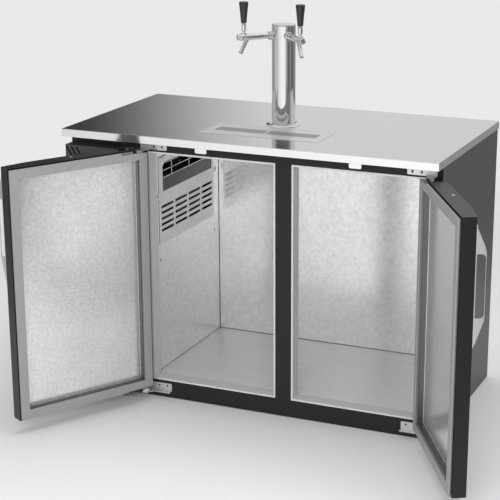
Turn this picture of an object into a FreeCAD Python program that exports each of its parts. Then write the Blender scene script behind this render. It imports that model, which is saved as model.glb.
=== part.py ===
import FreeCAD, Part
import math
import os
import re
import Sketcher

# Two-door direct draw beer dispenser with a two-tap draft tower.
# Millimetres, +Z up, -Y is the front. The origin is the centre of the cabinet's underside.

doc = FreeCAD.newDocument("DirectDrawDispenser")

# Driving sizes
# Each cell holds one plain number and has the size's name as its alias.
SIZES = [
    # counter top and cabinet shell
    ("top_width", 1270.0),
    ("top_depth", 672.0),
    ("counter_height", 902.0),
    ("top_gauge", 1.5),
    ("edge_drop", 25.0),
    ("side_inset", 3.0),
    ("back_inset", 3.0),
    ("panel_gauge", 1.2),
    ("pan_gauge", 1.5),
    ("face_setback", 57.7),
    ("rail_depth", 48.0),
    ("rail_wall", 1.2),
    ("opening_base", 60.2),
    ("head_height", 61.4),
    ("mullion_width", 54.8),
    ("machine_width", 227.8),
    ("stile_overlap", 37.0),
    ("trim_width", 6.0),
    ("trim_recess", 0.5),
    # cold room lining and insulation
    ("liner_gauge", 1.2),
    ("liner_setback", 7.2),
    ("side_insulation", 32.2),
    ("partition_insulation", 39.0),
    ("back_insulation", 63.6),
    ("floor_insulation", 62.8),
    ("roof_insulation", 52.3),
    ("clip_hole_radius", 1.8),
    ("clip_hole_low", 391.5),
    ("clip_hole_high", 553.0),
    ("clip_hole_left", 80.0),
    ("clip_hole_pitch", 82.0),
    ("keyhole_height", 448.5),
    ("keyhole_radius", 4.0),
    ("keyhole_inset", 41.0),
    # evaporator section
    ("cover_height", 295.0),
    ("cover_drop", 49.0),
    ("cover_front_gap", 36.3),
    ("cover_back_gap", 44.0),
    ("cover_gauge", 1.2),
    ("cover_lap", 12.0),
    ("fan_opening_inset", 28.0),
    ("fan_opening_end", 17.0),
    ("fan_opening_drop", 21.5),
    ("fan_opening_height", 96.5),
    ("fan_opening_clip", 13.0),
    ("vent_rows", 5),
    ("vent_columns", 4),
    ("vent_height", 9.0),
    ("vent_pitch", 20.0),
    ("vent_gap", 13.5),
    ("vent_inset", 15.5),
    ("vent_end", 9.0),
    ("vent_drop", 165.0),
    ("ear_reach", 20.0),
    ("ear_height", 20.0),
    ("ear_drop", 119.0),
    ("plenum_depth", 92.0),
    ("plenum_jacket", 25.0),
    ("guard_wire", 1.4),
    ("guard_wires", 3),
    ("guard_first", 74.0),
    ("guard_last", 92.0),
    ("guard_rows", 3),
    ("guard_pitch", 24.0),
    ("guard_skirt", 45.0),
    ("guard_sheet", 1.2),
    ("guard_lap", 4.0),
    ("evaporator_fan_radius", 46.0),
    ("evaporator_fan_setback", 30.0),
    ("evaporator_motor_radius", 22.0),
    ("coil_depth", 66.0),
    ("coil_height", 120.0),
    ("coil_fins", 26),
    ("coil_end", 46.5),
    ("coil_gap", 8.0),
    ("fin_gauge", 1.0),
    ("coil_tube_radius", 5.0),
    # drip tray and grille
    ("tray_width", 410.0),
    ("tray_depth", 160.0),
    ("tray_front", 123.0),
    ("tray_rim_width", 6.0),
    ("tray_rim_gauge", 1.2),
    ("tray_well", 28.0),
    ("tray_clearance", 1.0),
    ("drain_radius", 8.0),
    ("drain_length", 12.0),
    ("grille_gauge", 1.2),
    ("grille_proud", 0.6),
    ("drip_slots", 17),
    ("drip_slot_pitch", 10.0),
    ("drip_slot_width", 5.0),
    ("drip_slot_length", 55.0),
    ("drip_slot_front", 47.0),
    ("drip_block_gap", 9.0),
    # draft tower
    ("tower_gap", 1.0),
    ("column_radius", 38.1),
    ("column_wall", 2.0),
    ("tower_height", 328.0),
    ("cap_thickness", 4.0),
    ("cap_spigot", 12.0),
    ("cap_clearance", 0.3),
    ("flange_radius", 57.0),
    ("flange_rise", 6.0),
    ("flange_screws", 4),
    ("flange_screw_radius", 45.0),
    ("tap_drop", 35.0),
    ("tap_spread", 45.0),
    ("shank_radius", 10.5),
    ("shank_tail", 28.0),
    ("shank_reach", 47.0),
    ("shank_bore", 4.6),
    ("collar_radius", 15.0),
    ("collar_reach", 41.0),
    ("collar_depth", 4.0),
    ("nut_radius", 14.0),
    ("nut_reach", 52.0),
    ("thread_clearance", 0.2),
    ("body_neck_radius", 8.5),
    ("body_radius", 11.5),
    ("body_nose_radius", 9.5),
    ("body_reach", 160.0),
    ("lever_reach", 137.0),
    ("lever_pivot_rise", 8.0),
    ("bonnet_radius", 10.0),
    ("bonnet_rise", 13.0),
    ("bonnet_bore", 6.8),
    ("ball_radius", 6.4),
    ("lever_tail_radius", 2.5),
    ("lever_tail_drop", 11.0),
    ("stem_radius", 3.5),
    ("ferrule_radius", 7.5),
    ("ferrule_base", 19.0),
    ("handle_base", 45.5),
    ("handle_length", 66.5),
    ("handle_low_radius", 9.0),
    ("handle_high_radius", 15.0),
    ("handle_socket", 20.0),
    ("valve_bore", 5.0),
    ("valve_fit", 0.08),
    ("valve_gap", 0.5),
    ("valve_tail", 58.0),
    ("valve_tip_radius", 2.2),
    ("valve_tip_length", 8.0),
    ("spout_start", 123.0),
    ("spout_end", 150.0),
    ("spout_drop", 52.0),
    ("spout_radius", 7.0),
    ("spout_bore", 4.8),
    ("line_radius", 4.5),
    ("line_bend", 14.0),
    ("line_straight", 4.0),
    ("line_end", 72.0),
    # doors
    ("door_open_angle", 120.0),
    ("pin_outset", 11.6),
    ("pin_forward", 31.9),
    ("door_gap", 10.1),
    ("door_heel", 14.0),
    ("door_inner", 21.8),
    ("door_thickness", 52.2),
    ("bevel_run", 89.5),
    ("bevel_drop", 10.5),
    ("door_lap_low", 16.2),
    ("door_lap_top", 17.9),
    ("door_gauge", 1.2),
    ("notch_depth", 16.0),
    ("notch_length", 99.0),
    ("notch_rim", 7.0),
    ("notch_open", 54.0),
    ("gasket_proud", 9.8),
    ("gasket_width", 29.6),
    ("gasket_lip", 6.6),
    ("gasket_waist", 5.0),
    ("gasket_margin_heel", 3.8),
    ("gasket_margin_free", 1.8),
    ("gasket_margin_end", 4.2),
    ("gasket_sweep", 31.6),
    ("gasket_relief", 4.8),
    ("gasket_clearance", 0.8),
    ("pan_recess", 18.0),
    ("pan_margin", 0.5),
    ("pan_sheet", 1.0),
    ("handle_gauge", 3.0),
    ("handle_top_gap", 24.5),
    ("handle_slant_top", 57.0),
    ("handle_corner", 17.0),
    ("handle_straight", 192.0),
    ("handle_slant_low", 66.0),
    ("handle_foot", 12.0),
    ("handle_outset", 30.3),
    ("handle_taper", 5.0),
    ("handle_lower_outset", 7.3),
    ("handle_flange", 30.0),
    ("window_inset", 1.5),
    ("window_outset", 3.3),
    ("window_drop", 5.0),
    ("window_round", 13.0),
    ("lock_reach", 241.9),
    ("lock_drop", 36.0),
    ("cylinder_radius", 9.0),
    ("cylinder_length", 26.0),
    ("cylinder_proud", 1.6),
    ("cylinder_end_gap", 0.5),
    ("key_slot_length", 8.0),
    ("key_slot_width", 1.6),
    ("key_slot_depth", 1.2),
    ("bolt_radius", 5.0),
    ("bolt_length", 24.0),
    ("bolt_proud", 0.3),
    ("bolt_seat", 32.7),
    ("fit_clearance", 0.1),
    ("tab_width", 40.0),
    ("tab_shift", 14.0),
    ("tab_drop", 15.5),
    ("tab_gauge", 2.5),
    ("tab_weld", 14.0),
    ("tab_corner", 5.0),
    # hinges
    ("hinge_reach", 81.7),
    ("hinge_relief", 3.0),
    ("hinge_gauge", 2.5),
    ("hinge_lug", 3.0),
    ("hinge_end", 12.0),
    ("hinge_top_rise", 6.4),
    ("hinge_top_height", 20.0),
    ("hinge_base", 23.0),
    ("hinge_low_height", 28.0),
    ("hinge_ledge", 20.0),
    ("hinge_corner", 4.0),
    ("hinge_slot_width", 6.0),
    ("hinge_slot_height", 12.0),
    ("hinge_slot_far", 65.2),
    ("hinge_slot_near", 35.7),
    ("hinge_slot_low", 18.5),
    ("pin_radius", 5.0),
    ("pin_length", 34.0),
    ("pin_top_length", 24.0),
    ("bush_radius", 8.0),
    ("bush_head_radius", 11.0),
    ("bush_depth", 20.0),
    ("bush_gap", 0.3),
    # machine compartment
    ("front_reach", 42.7),
    ("front_top_gap", 54.0),
    ("front_gauge", 1.2),
    ("slit_rows", 14),
    ("slit_first_count", 3),
    ("slit_limit", 10),
    ("slit_width", 5.0),
    ("slit_length", 34.0),
    ("slit_slant", 33.0),
    ("slit_pitch", 17.5),
    ("slit_row_pitch", 42.0),
    ("slit_top_gap", 5.0),
    ("slit_side_gap", 6.0),
    ("rear_vents", 14),
    ("rear_vent_length", 150.0),
    ("rear_vent_height", 8.0),
    ("rear_vent_pitch", 26.0),
    ("rear_vent_base", 130.0),
    ("unit_rail_height", 20.0),
    ("unit_rail_width", 30.0),
    ("unit_rail_gauge", 1.5),
    ("unit_margin", 22.0),
    ("condenser_front_gap", 5.0),
    ("condenser_depth", 50.0),
    ("condenser_height", 300.0),
    ("condenser_fins", 20),
    ("condenser_tube_radius", 4.0),
    ("condenser_tube_rows", 9),
    ("condenser_tube_pitch", 30.0),
    ("condenser_fan_radius", 82.0),
    ("condenser_fan_gap", 26.0),
    ("motor_gap", 6.0),
    ("evaporator_motor_gap", 4.0),
    ("condenser_motor_radius", 32.0),
    ("condenser_motor_length", 60.0),
    ("condenser_axis_height", 160.0),
    ("fan_blades", 5),
    ("fan_depth", 18.0),
    ("blade_gauge", 1.6),
    ("blade_pitch_angle", 28.0),
    ("fan_hub_radius", 16.0),
    ("fan_bore", 4.0),
    ("shaft_fit", 0.1),
    ("motor_bracket_height", 24.0),
    ("compressor_radius", 72.0),
    ("compressor_height", 178.0),
    ("compressor_round", 34.0),
    ("compressor_setback", 150.0),
    ("compressor_foot", 166.0),
    ("foot_gauge", 3.0),
    ("compressor_lift", 6.0),
    # screws
    ("screw_head_radius", 4.6),
    ("screw_head_height", 2.2),
    ("screw_shank_radius", 1.9),
    ("screw_hole_gap", 0.2),
    ("grille_screw_inset", 13.6),
    ("grille_screw_drop", 11.5),
    ("grille_screws", 3),
    ("grille_screw_pitch", 370.0),
    ("cover_screw_inset", 29.0),
    ("cover_screw_drop", 6.0),
]

sheet = doc.addObject("Spreadsheet::Sheet", "Dimensions")
sizes = {}
for row, (alias, number) in enumerate(SIZES, start=1):
    sheet.set(f"A{row}", alias)
    sheet.set(f"B{row}", str(number))
    sheet.setAlias(f"B{row}", alias)
    sizes[alias] = number
doc.recompute()

# Places that several pieces share
# Each is a formula of sizes in the sheet.
TOP_SIDE = "(top_width / 2)"
TOP_FRONT = "(-top_depth / 2)"
TOP_BACK = "(top_depth / 2)"
DECK = "counter_height"
DECK_UNDER = "(counter_height - top_gauge)"
SIDE = "(top_width / 2 - side_inset)"
SIDE_IN = f"({SIDE} - panel_gauge)"
BACK = "(top_depth / 2 - back_inset)"
BACK_IN = f"({BACK} - panel_gauge)"
FACE = "(-top_depth / 2 + face_setback)"
RAIL_BACK = f"({FACE} + rail_depth)"
MACHINE_OUT = f"(-{SIDE_IN} + machine_width)"
MACHINE_FACE = f"({MACHINE_OUT} + panel_gauge)"
WALL_L = f"({MACHINE_FACE} + partition_insulation + liner_gauge)"
WALL_R = f"({SIDE_IN} - side_insulation - liner_gauge)"
OPEN_L0 = f"({WALL_L} + liner_setback)"
OPEN_R1 = f"({WALL_R} - liner_setback)"
OPENING = f"(({OPEN_R1} - {OPEN_L0} - mullion_width) / 2)"
OPEN_L1 = f"({OPEN_L0} + {OPENING})"
OPEN_R0 = f"({OPEN_R1} - {OPENING})"
OPEN_LOW = "opening_base"
OPEN_HIGH = "(counter_height - head_height)"
STILE_L = f"({MACHINE_OUT} - stile_overlap)"
WALL_BACK = f"({BACK_IN} - back_insulation - liner_gauge)"
FLOOR = "(pan_gauge + floor_insulation + liner_gauge)"
FLOOR_UNDER = "(pan_gauge + floor_insulation)"
CEILING = f"({DECK_UNDER} - roof_insulation - liner_gauge)"
CEILING_TOP = f"({DECK_UNDER} - roof_insulation)"
PIN_L = f"({OPEN_L0} - pin_outset)"
PIN_R = f"({OPEN_R1} + pin_outset)"
PIN_Y = f"({FACE} - pin_forward)"
REACH = f"(pin_outset + {OPENING} + mullion_width / 2 - door_gap / 2)"
DOOR_LOW = "(opening_base - door_lap_low)"
DOOR_TOP = f"({OPEN_HIGH} + door_lap_top)"
TOWER_TOP = "(counter_height + tower_height)"
TAP_Z = "(counter_height + tower_height - tap_drop)"


def link(formula):
    """Turn the size names in a formula into references to the sheet."""

    def reference(match):
        word = match.group(0)
        if word not in sizes:
            raise KeyError(word)
        return "Dimensions." + word

    return re.sub(r"[a-z]+(?:_[a-z]+)+", reference, str(formula))


def bind(item, prop, formula):
    """Bind a property to a formula."""
    item.setExpression(prop, link(formula))


def fresh(name):
    """Give a name that no object has yet."""
    taken = {item.Name for item in doc.Objects}
    number = 1
    candidate = name
    while candidate in taken:
        number += 1
        candidate = f"{name}_{number}"
    return candidate


def box(name, x, y, z):
    """Make a box from a low and a high formula along each axis."""
    solid = doc.addObject("Part::Box", fresh(name))
    for side, axis, (low, high) in (("Length", "x", x), ("Width", "y", y), ("Height", "z", z)):
        bind(solid, side, f"({high}) - ({low})")
        bind(solid, "Placement.Base." + axis, low)
    return solid


AXIS_TURNS = {
    "x": FreeCAD.Rotation(FreeCAD.Vector(0, 1, 0), 90),
    "y": FreeCAD.Rotation(FreeCAD.Vector(1, 0, 0), -90),
    "z": FreeCAD.Rotation(),
}


def rod(name, axis, radius, low, high, across, along):
    """Make a cylinder along an axis between two formulas, at a place on the two other axes."""
    solid = doc.addObject("Part::Cylinder", fresh(name))
    bind(solid, "Radius", radius)
    bind(solid, "Height", f"({high}) - ({low})")
    solid.Placement.Rotation = AXIS_TURNS[axis]
    others = [letter for letter in "xyz" if letter != axis]
    bind(solid, "Placement.Base." + axis, low)
    bind(solid, "Placement.Base." + others[0], across)
    bind(solid, "Placement.Base." + others[1], along)
    return solid


def fuse(name, items):
    """Join items into one solid."""
    joined = doc.addObject("Part::MultiFuse", fresh(name))
    joined.Shapes = items
    joined.Refine = True
    return joined


def group(name, items):
    """Hold separate solids in one piece."""
    held = doc.addObject("Part::Compound", fresh(name))
    held.Links = items
    return held


def cut(name, base, tools):
    """Take tools away from a base."""
    tool = tools[0] if len(tools) == 1 else group(name + "_tools", tools)
    result = doc.addObject("Part::Cut", fresh(name))
    result.Base = base
    result.Tool = tool
    return result


PLANES = {"XY": "XY_Plane", "XZ": "XZ_Plane", "YZ": "YZ_Plane"}


def outline(body, name, plane, points):
    """Draw a closed outline of straight lines through points given as pairs of formulas."""
    sketch = body.newObject("Sketcher::SketchObject", fresh(name))
    base = [item for item in body.Origin.OriginFeatures if item.Role == PLANES[plane]][0]
    sketch.AttachmentSupport = (base, [""])
    sketch.MapMode = "FlatFace"
    count = len(points)
    start = [
        FreeCAD.Vector(math.cos(2 * math.pi * i / count), math.sin(2 * math.pi * i / count), 0)
        for i in range(count)
    ]
    for i in range(count):
        sketch.addGeometry(Part.LineSegment(start[i], start[(i + 1) % count]))
    for i in range(count):
        sketch.addConstraint(Sketcher.Constraint("Coincident", i, 2, (i + 1) % count, 1))
    for i, (across, up) in enumerate(points):
        for kind, formula, first in (("DistanceX", across, start[i].x), ("DistanceY", up, start[i].y)):
            index = sketch.addConstraint(Sketcher.Constraint(kind, -1, 1, i, 1, first))
            bind(sketch, f"Constraints[{index}]", formula)
    return sketch


def plate(name, plane, points, low, high, rounds=None, radius=None):
    """Pad an outline between two formulas, and round the edges that stand on the listed points."""
    body = doc.addObject("PartDesign::Body", fresh(name))
    sketch = outline(body, name + "_outline", plane, points)
    pad = body.newObject("PartDesign::Pad", fresh(name + "_pad"))
    pad.Profile = sketch
    bind(pad, "Length", f"({high}) - ({low})")
    pad.Reversed = plane == "XZ"
    axis = {"XY": "z", "XZ": "y", "YZ": "x"}[plane]
    bind(body, "Placement.Base." + axis, low)
    if rounds:
        doc.recompute()
        corners = [sketch.getPoint(index, 1) for index in rounds]
        turned = [sketch.Placement.multVec(corner) for corner in corners]
        normal = sketch.Placement.Rotation.multVec(FreeCAD.Vector(0, 0, 1))
        edges = []
        for number, edge in enumerate(pad.Shape.Edges, start=1):
            ends = [vertex.Point for vertex in edge.Vertexes]
            for corner in turned:
                offsets = [(end - corner).cross(normal).Length for end in ends]
                if len(ends) == 2 and max(offsets) < 1e-4:
                    edges.append(f"Edge{number}")
        rounding = body.newObject("PartDesign::Fillet", fresh(name + "_round"))
        rounding.Base = (pad, edges)
        bind(rounding, "Radius", radius)
    return body


def turned(name, points, axis):
    """Turn an outline about the vertical (points are radius, height) or the x axis (x, radius)."""
    body = doc.addObject("PartDesign::Body", fresh(name))
    sketch = outline(body, name + "_outline", "XZ", points)
    turn = body.newObject("PartDesign::Revolution", fresh(name + "_turn"))
    turn.Profile = sketch
    turn.ReferenceAxis = (sketch, ["V_Axis" if axis == "z" else "H_Axis"])
    turn.Angle = 360
    return body


def place(item, x, y, angle=None):
    """Place an item at x and y, turned about the vertical."""
    if angle is not None:
        item.Placement.Rotation = FreeCAD.Rotation(FreeCAD.Vector(0, 0, 1), 10)
        bind(item, "Placement.Rotation.Angle", angle)
    bind(item, "Placement.Base.x", x)
    bind(item, "Placement.Base.y", y)


nodes = []


def node(item, name):
    """Name a finished piece."""
    item.Label = name
    nodes.append(item)
    return item


# Counter top
# One folded sheet with four turned-down edges, and two lock tabs welded behind its front edge.
TRAY_FRONT = f"({TOP_FRONT} + tray_front)"
TRAY_BACK = f"({TRAY_FRONT} + tray_depth)"
WELL_X = "(tray_width / 2 - tray_rim_width)"
WELL_FRONT = f"({TRAY_FRONT} + tray_rim_width)"
WELL_BACK = f"({TRAY_BACK} - tray_rim_width)"
BORE = "(column_radius - column_wall)"
TOWER_Y = f"({TRAY_BACK} + tower_gap + flange_radius)"

deck_blank = box(
    "deck_blank",
    (f"-{TOP_SIDE}", TOP_SIDE),
    (TOP_FRONT, TOP_BACK),
    (f"{DECK} - edge_drop", DECK),
)
deck_hollow = box(
    "deck_hollow",
    (f"-{TOP_SIDE} + top_gauge", f"{TOP_SIDE} - top_gauge"),
    (f"{TOP_FRONT} + top_gauge", f"{TOP_BACK} - top_gauge"),
    (f"{DECK} - edge_drop - 1", DECK_UNDER),
)
tray_hole = box(
    "tray_hole",
    (f"-{WELL_X} - fit_clearance", f"{WELL_X} + fit_clearance"),
    (f"{WELL_FRONT} - fit_clearance", f"{WELL_BACK} + fit_clearance"),
    (f"{DECK} - edge_drop", f"{DECK} + 1"),
)
tower_hole = rod("tower_hole", "z", BORE, f"{CEILING} - 1", f"{DECK} + 1", "0", TOWER_Y)
deck = cut("deck", deck_blank, [deck_hollow, tray_hole, tower_hole])
tabs = []
TAB_BACK = f"({TOP_FRONT} + top_gauge + tab_gauge)"
for side, pin, sense in (("left", PIN_L, 1), ("right", PIN_R, -1)):
    low = f"{pin} + ({sense}) * (lock_reach - tab_shift) - tab_width / 2"
    high = f"{pin} + ({sense}) * (lock_reach - tab_shift) + tab_width / 2"
    foot = f"{DECK} - edge_drop - tab_drop"
    head = f"{DECK} - edge_drop + tab_weld"
    tabs.append(
        plate(
            side + "_lock_tab",
            "XZ",
            [(low, foot), (high, foot), (high, head), (low, head)],
            f"{TOP_FRONT} + top_gauge",
            TAB_BACK,
            rounds=[0, 1],
            radius="tab_corner",
        )
    )
node(fuse("top_sheet", [deck] + tabs), "stainless_top")

# Outer shell
# Two side panels, a back panel with vents behind the machine compartment, and the bottom pan.
for side, low, high in (("left", f"-{SIDE}", f"-{SIDE_IN}"), ("right", SIDE_IN, SIDE)):
    node(box(side + "_panel", (low, high), (FACE, BACK), ("0", DECK_UNDER)), "outer_side_" + side)
rear_blank = box("rear_blank", (f"-{SIDE_IN}", SIDE_IN), (BACK_IN, BACK), ("0", DECK_UNDER))
rear_vents = []
VENT_MIDDLE = f"(-{SIDE_IN} + machine_width / 2)"
for index in range(int(sizes["rear_vents"])):
    base = f"rear_vent_base + {index} * rear_vent_pitch"
    rear_vents.append(
        box(
            "rear_vent",
            (f"{VENT_MIDDLE} - rear_vent_length / 2", f"{VENT_MIDDLE} + rear_vent_length / 2"),
            (f"{BACK_IN} - 1", f"{BACK} + 1"),
            (base, f"{base} + rear_vent_height"),
        )
    )
node(cut("rear_sheet", rear_blank, rear_vents), "back_panel")

RAIL_TOP = "(pan_gauge + unit_rail_height)"
UNIT_X0 = f"(-{SIDE_IN} + unit_margin)"
UNIT_X1 = f"({MACHINE_OUT} - unit_margin)"
UNIT_X = f"(({UNIT_X0} + {UNIT_X1}) / 2)"
CONDENSER_Y0 = f"({RAIL_BACK} + condenser_front_gap)"
CONDENSER_Y1 = f"({CONDENSER_Y0} + condenser_depth)"
FAN_Y0 = f"({CONDENSER_Y1} + condenser_fan_gap)"
MOTOR_Y0 = f"({FAN_Y0} + fan_depth + motor_gap)"
MOTOR_Y = f"({MOTOR_Y0} + condenser_motor_length / 2)"
COMPRESSOR_Y = f"({BACK_IN} - compressor_setback)"
pan_sheet = box("pan_sheet_flat", (f"-{SIDE_IN}", SIDE_IN), (FACE, BACK_IN), ("0", "pan_gauge"))
unit_rails = [pan_sheet]
for middle in (
    MOTOR_Y,
    f"{COMPRESSOR_Y} - compressor_foot / 2 + unit_rail_width / 2",
    f"{COMPRESSOR_Y} + compressor_foot / 2 - unit_rail_width / 2",
):
    near = f"({middle} - unit_rail_width / 2)"
    far = f"({middle} + unit_rail_width / 2)"
    outer = box("unit_rail", (UNIT_X0, UNIT_X1), (near, far), ("pan_gauge", RAIL_TOP))
    inner = box(
        "unit_rail_hollow",
        (f"{UNIT_X0} - 1", f"{UNIT_X1} + 1"),
        (f"{near} + unit_rail_gauge", f"{far} - unit_rail_gauge"),
        ("pan_gauge - 1", f"{RAIL_TOP} - unit_rail_gauge"),
    )
    unit_rails.append(cut("unit_rail_channel", outer, [inner]))
node(fuse("pan", unit_rails), "bottom_pan")

# Face frame
# Hollow rails across the top and the base, with three hollow posts between them.
def hollow_beam(name, x, y, z, axis):
    """Make a rectangular tube along an axis, open at its ends."""
    outer = box(name, x, y, z)
    spans = {"x": x, "y": y, "z": z}
    inner = {}
    for letter, (low, high) in spans.items():
        if letter == axis:
            inner[letter] = (f"{low} - 1", f"{high} + 1")
        else:
            inner[letter] = (f"{low} + rail_wall", f"{high} - rail_wall")
    return cut(name + "_tube", outer, [box(name + "_hollow", inner["x"], inner["y"], inner["z"])])


FRAME_Y = (FACE, RAIL_BACK)
top_rail = hollow_beam("top_rail", (f"-{SIDE_IN}", SIDE_IN), FRAME_Y, (OPEN_HIGH, DECK_UNDER), "x")
node(top_rail, "front_top_rail")
base_rail = hollow_beam("base_rail", (STILE_L, SIDE_IN), FRAME_Y, ("pan_gauge", OPEN_LOW), "x")
node(base_rail, "front_base_rail")
FRAME_Z = (OPEN_LOW, OPEN_HIGH)
GRILLE_SCREW_X = f"({STILE_L} + grille_screw_inset)"
grille_screw_heights = [
    f"({DECK} - front_top_gap - grille_screw_drop - {index} * grille_screw_pitch)"
    for index in range(int(sizes["grille_screws"]))
]
posts = []
for name, low, high in (
    ("left_stile", STILE_L, OPEN_L0),
    ("mullion", OPEN_L1, OPEN_R0),
    ("right_stile", OPEN_R1, SIDE_IN),
):
    post = hollow_beam(name, (low, high), FRAME_Y, FRAME_Z, "z")
    if name == "left_stile":
        holes = [
            rod(
                "stile_hole",
                "y",
                "screw_shank_radius + screw_hole_gap",
                f"{FACE} - 1",
                f"{FACE} + rail_wall + 1",
                GRILLE_SCREW_X,
                height,
            )
            for height in grille_screw_heights
        ]
        post = cut("left_stile_drilled", post, holes)
    posts.append(post)
node(group("posts", posts), "front_posts")

# White trim round both door openings
trims = []
for name, low, high in (("left", OPEN_L0, OPEN_L1), ("right", OPEN_R0, OPEN_R1)):
    outer = box(name + "_trim", (low, high), (f"{FACE} + trim_recess", RAIL_BACK), FRAME_Z)
    inner = box(
        name + "_trim_hollow",
        (f"{low} + trim_width", f"{high} - trim_width"),
        (f"{FACE} - 1", f"{RAIL_BACK} + 1"),
        (f"{OPEN_LOW} + trim_width", f"{OPEN_HIGH} - trim_width"),
    )
    trims.append(cut(name + "_trim_frame", outer, [inner]))
node(group("trim_frames", trims), "breaker_strips")

# Cold room lining
# The left wall carries the evaporator's plenum, a tub that reaches into the machine compartment.
COVER_Y0 = f"({RAIL_BACK} + cover_front_gap)"
COVER_Y1 = f"({WALL_BACK} - cover_back_gap)"
COVER_TOP = f"({CEILING} - cover_drop)"
COVER_LOW = f"({COVER_TOP} - cover_height)"
PLENUM_Y = (f"{COVER_Y0} + cover_lap", f"{COVER_Y1} - cover_lap")
PLENUM_Z = (f"{COVER_LOW} + cover_lap", f"{COVER_TOP} - cover_lap")
WALL_L_BACK = f"({WALL_L} - liner_gauge)"
PLENUM_X = f"({WALL_L_BACK} - plenum_depth)"


def grow(span, by):
    """Widen a span at both ends."""
    low, high = span
    return (f"{low} - {by}", f"{high} + {by}")


EAR_Y = (f"({COVER_Y0} - ear_reach / 2)", f"({COVER_Y1} + ear_reach / 2)")
EAR_Z = f"({COVER_TOP} - ear_drop - ear_height / 2)"
cover_screws = [
    (f"({COVER_Y0} + cover_screw_inset)", f"({COVER_TOP} - cover_screw_drop)"),
    (f"({COVER_Y1} - cover_screw_inset)", f"({COVER_TOP} - cover_screw_drop)"),
    (EAR_Y[0], EAR_Z),
    (EAR_Y[1], EAR_Z),
]


def cover_holes(name, low, high):
    """Drill the holes of the cover's screws through sheets between two formulas."""
    return [rod(name, "x", "screw_shank_radius + screw_hole_gap", low, high, y, z) for y, z in cover_screws]


LINER_Y = (RAIL_BACK, WALL_BACK)
LINER_Z = (FLOOR, CEILING)
wall_sheet = box("wall_sheet", (WALL_L_BACK, WALL_L), LINER_Y, LINER_Z)
tub = box(
    "plenum_tub",
    (PLENUM_X, WALL_L_BACK),
    grow(PLENUM_Y, "liner_gauge"),
    grow(PLENUM_Z, "liner_gauge"),
)
tub_hollow = box("plenum_hollow", (f"{PLENUM_X} + liner_gauge", f"{WALL_L} + 1"), PLENUM_Y, PLENUM_Z)
keyholes = []
for y in (f"{RAIL_BACK} + keyhole_inset", f"{WALL_BACK} - keyhole_inset"):
    keyholes.append(
        rod("keyhole", "x", "keyhole_radius", f"{WALL_L_BACK} - 1", f"{WALL_L} + 1", y, "keyhole_height"),
    )
    slot = ("keyhole_height", "keyhole_height + 2 * keyhole_radius")
    keyholes.append(
        box(
            "keyhole_slot",
            (f"{WALL_L_BACK} - 1", f"{WALL_L} + 1"),
            (f"{y} - keyhole_radius / 2", f"{y} + keyhole_radius / 2"),
            slot,
        ),
    )
left_wall = cut(
    "left_wall",
    fuse("left_wall_blank", [wall_sheet, tub]),
    [tub_hollow] + keyholes + cover_holes("wall_hole", f"{WALL_L_BACK} - 0.5", f"{WALL_L} + 1"),
)
node(left_wall, "liner_left_wall")
node(box("right_wall", (WALL_R, f"{WALL_R} + liner_gauge"), LINER_Y, LINER_Z), "liner_right_wall")
back_sheet = box(
    "back_sheet",
    (WALL_L_BACK, f"{WALL_R} + liner_gauge"),
    (WALL_BACK, f"{WALL_BACK} + liner_gauge"),
    LINER_Z,
)
clip_holes = []
for x in ("clip_hole_left", "clip_hole_left + clip_hole_pitch"):
    for z in ("clip_hole_low", "clip_hole_high"):
        clip_holes.append(
            rod(
                "clip_hole",
                "y",
                "clip_hole_radius",
                f"{WALL_BACK} - 1",
                f"{WALL_BACK} + liner_gauge + 1",
                x,
                z,
            ),
        )
node(cut("back_wall", back_sheet, clip_holes), "liner_back_wall")
LINER_X = (WALL_L_BACK, f"{WALL_R} + liner_gauge")
LINER_DEEP = (RAIL_BACK, f"{WALL_BACK} + liner_gauge")
node(box("floor_sheet", LINER_X, LINER_DEEP, (FLOOR_UNDER, FLOOR)), "liner_floor")
ceiling_sheet = box("ceiling_sheet", LINER_X, LINER_DEEP, (CEILING, CEILING_TOP))
node(cut("ceiling", ceiling_sheet, [tower_hole]), "liner_ceiling")

# Insulation
# Five foamed blocks between the lining and the shell, sealed from view.
FOAM_Y = (RAIL_BACK, BACK_IN)
FOAM_X = (MACHINE_FACE, SIDE_IN)
floor_foam = box("floor_foam", FOAM_X, FOAM_Y, ("pan_gauge", FLOOR_UNDER))
TRAY_FLOOR = f"({DECK} - tray_well)"
roof_blank = box("roof_foam", FOAM_X, FOAM_Y, (CEILING_TOP, DECK_UNDER))
tray_pocket = box(
    "tray_pocket",
    (f"-{WELL_X}", WELL_X),
    (WELL_FRONT, WELL_BACK),
    (TRAY_FLOOR, f"{DECK} + 1"),
)
DRAIN_Y = f"(({TRAY_FRONT} + {TRAY_BACK}) / 2)"
drain_pocket = rod(
    "drain_pocket",
    "z",
    "drain_radius",
    f"{TRAY_FLOOR} - drain_length",
    f"{TRAY_FLOOR} + 1",
    "0",
    DRAIN_Y,
)
roof_foam = cut("roof_foam_block", roof_blank, [tray_pocket, drain_pocket, tower_hole])
BLOCK_Z = (FLOOR_UNDER, CEILING_TOP)
right_foam = box("right_foam", (f"{WALL_R} + liner_gauge", SIDE_IN), FOAM_Y, BLOCK_Z)
back_foam = box("back_foam", LINER_X, (f"{WALL_BACK} + liner_gauge", BACK_IN), BLOCK_Z)
left_slab = box("left_foam_slab", (MACHINE_FACE, WALL_L_BACK), FOAM_Y, BLOCK_Z)
JACKET_Y = grow(grow(PLENUM_Y, "liner_gauge"), "plenum_jacket")
JACKET_Z = grow(grow(PLENUM_Z, "liner_gauge"), "plenum_jacket")
JACKET_X = f"({PLENUM_X} - plenum_jacket)"
jacket = box("plenum_foam", (JACKET_X, WALL_L_BACK), JACKET_Y, JACKET_Z)
left_foam = cut("left_foam", fuse("left_foam_blank", [left_slab, jacket]), [tub])
node(group("foam", [floor_foam, roof_foam, right_foam, back_foam, left_foam]), "foam_insulation")

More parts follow.
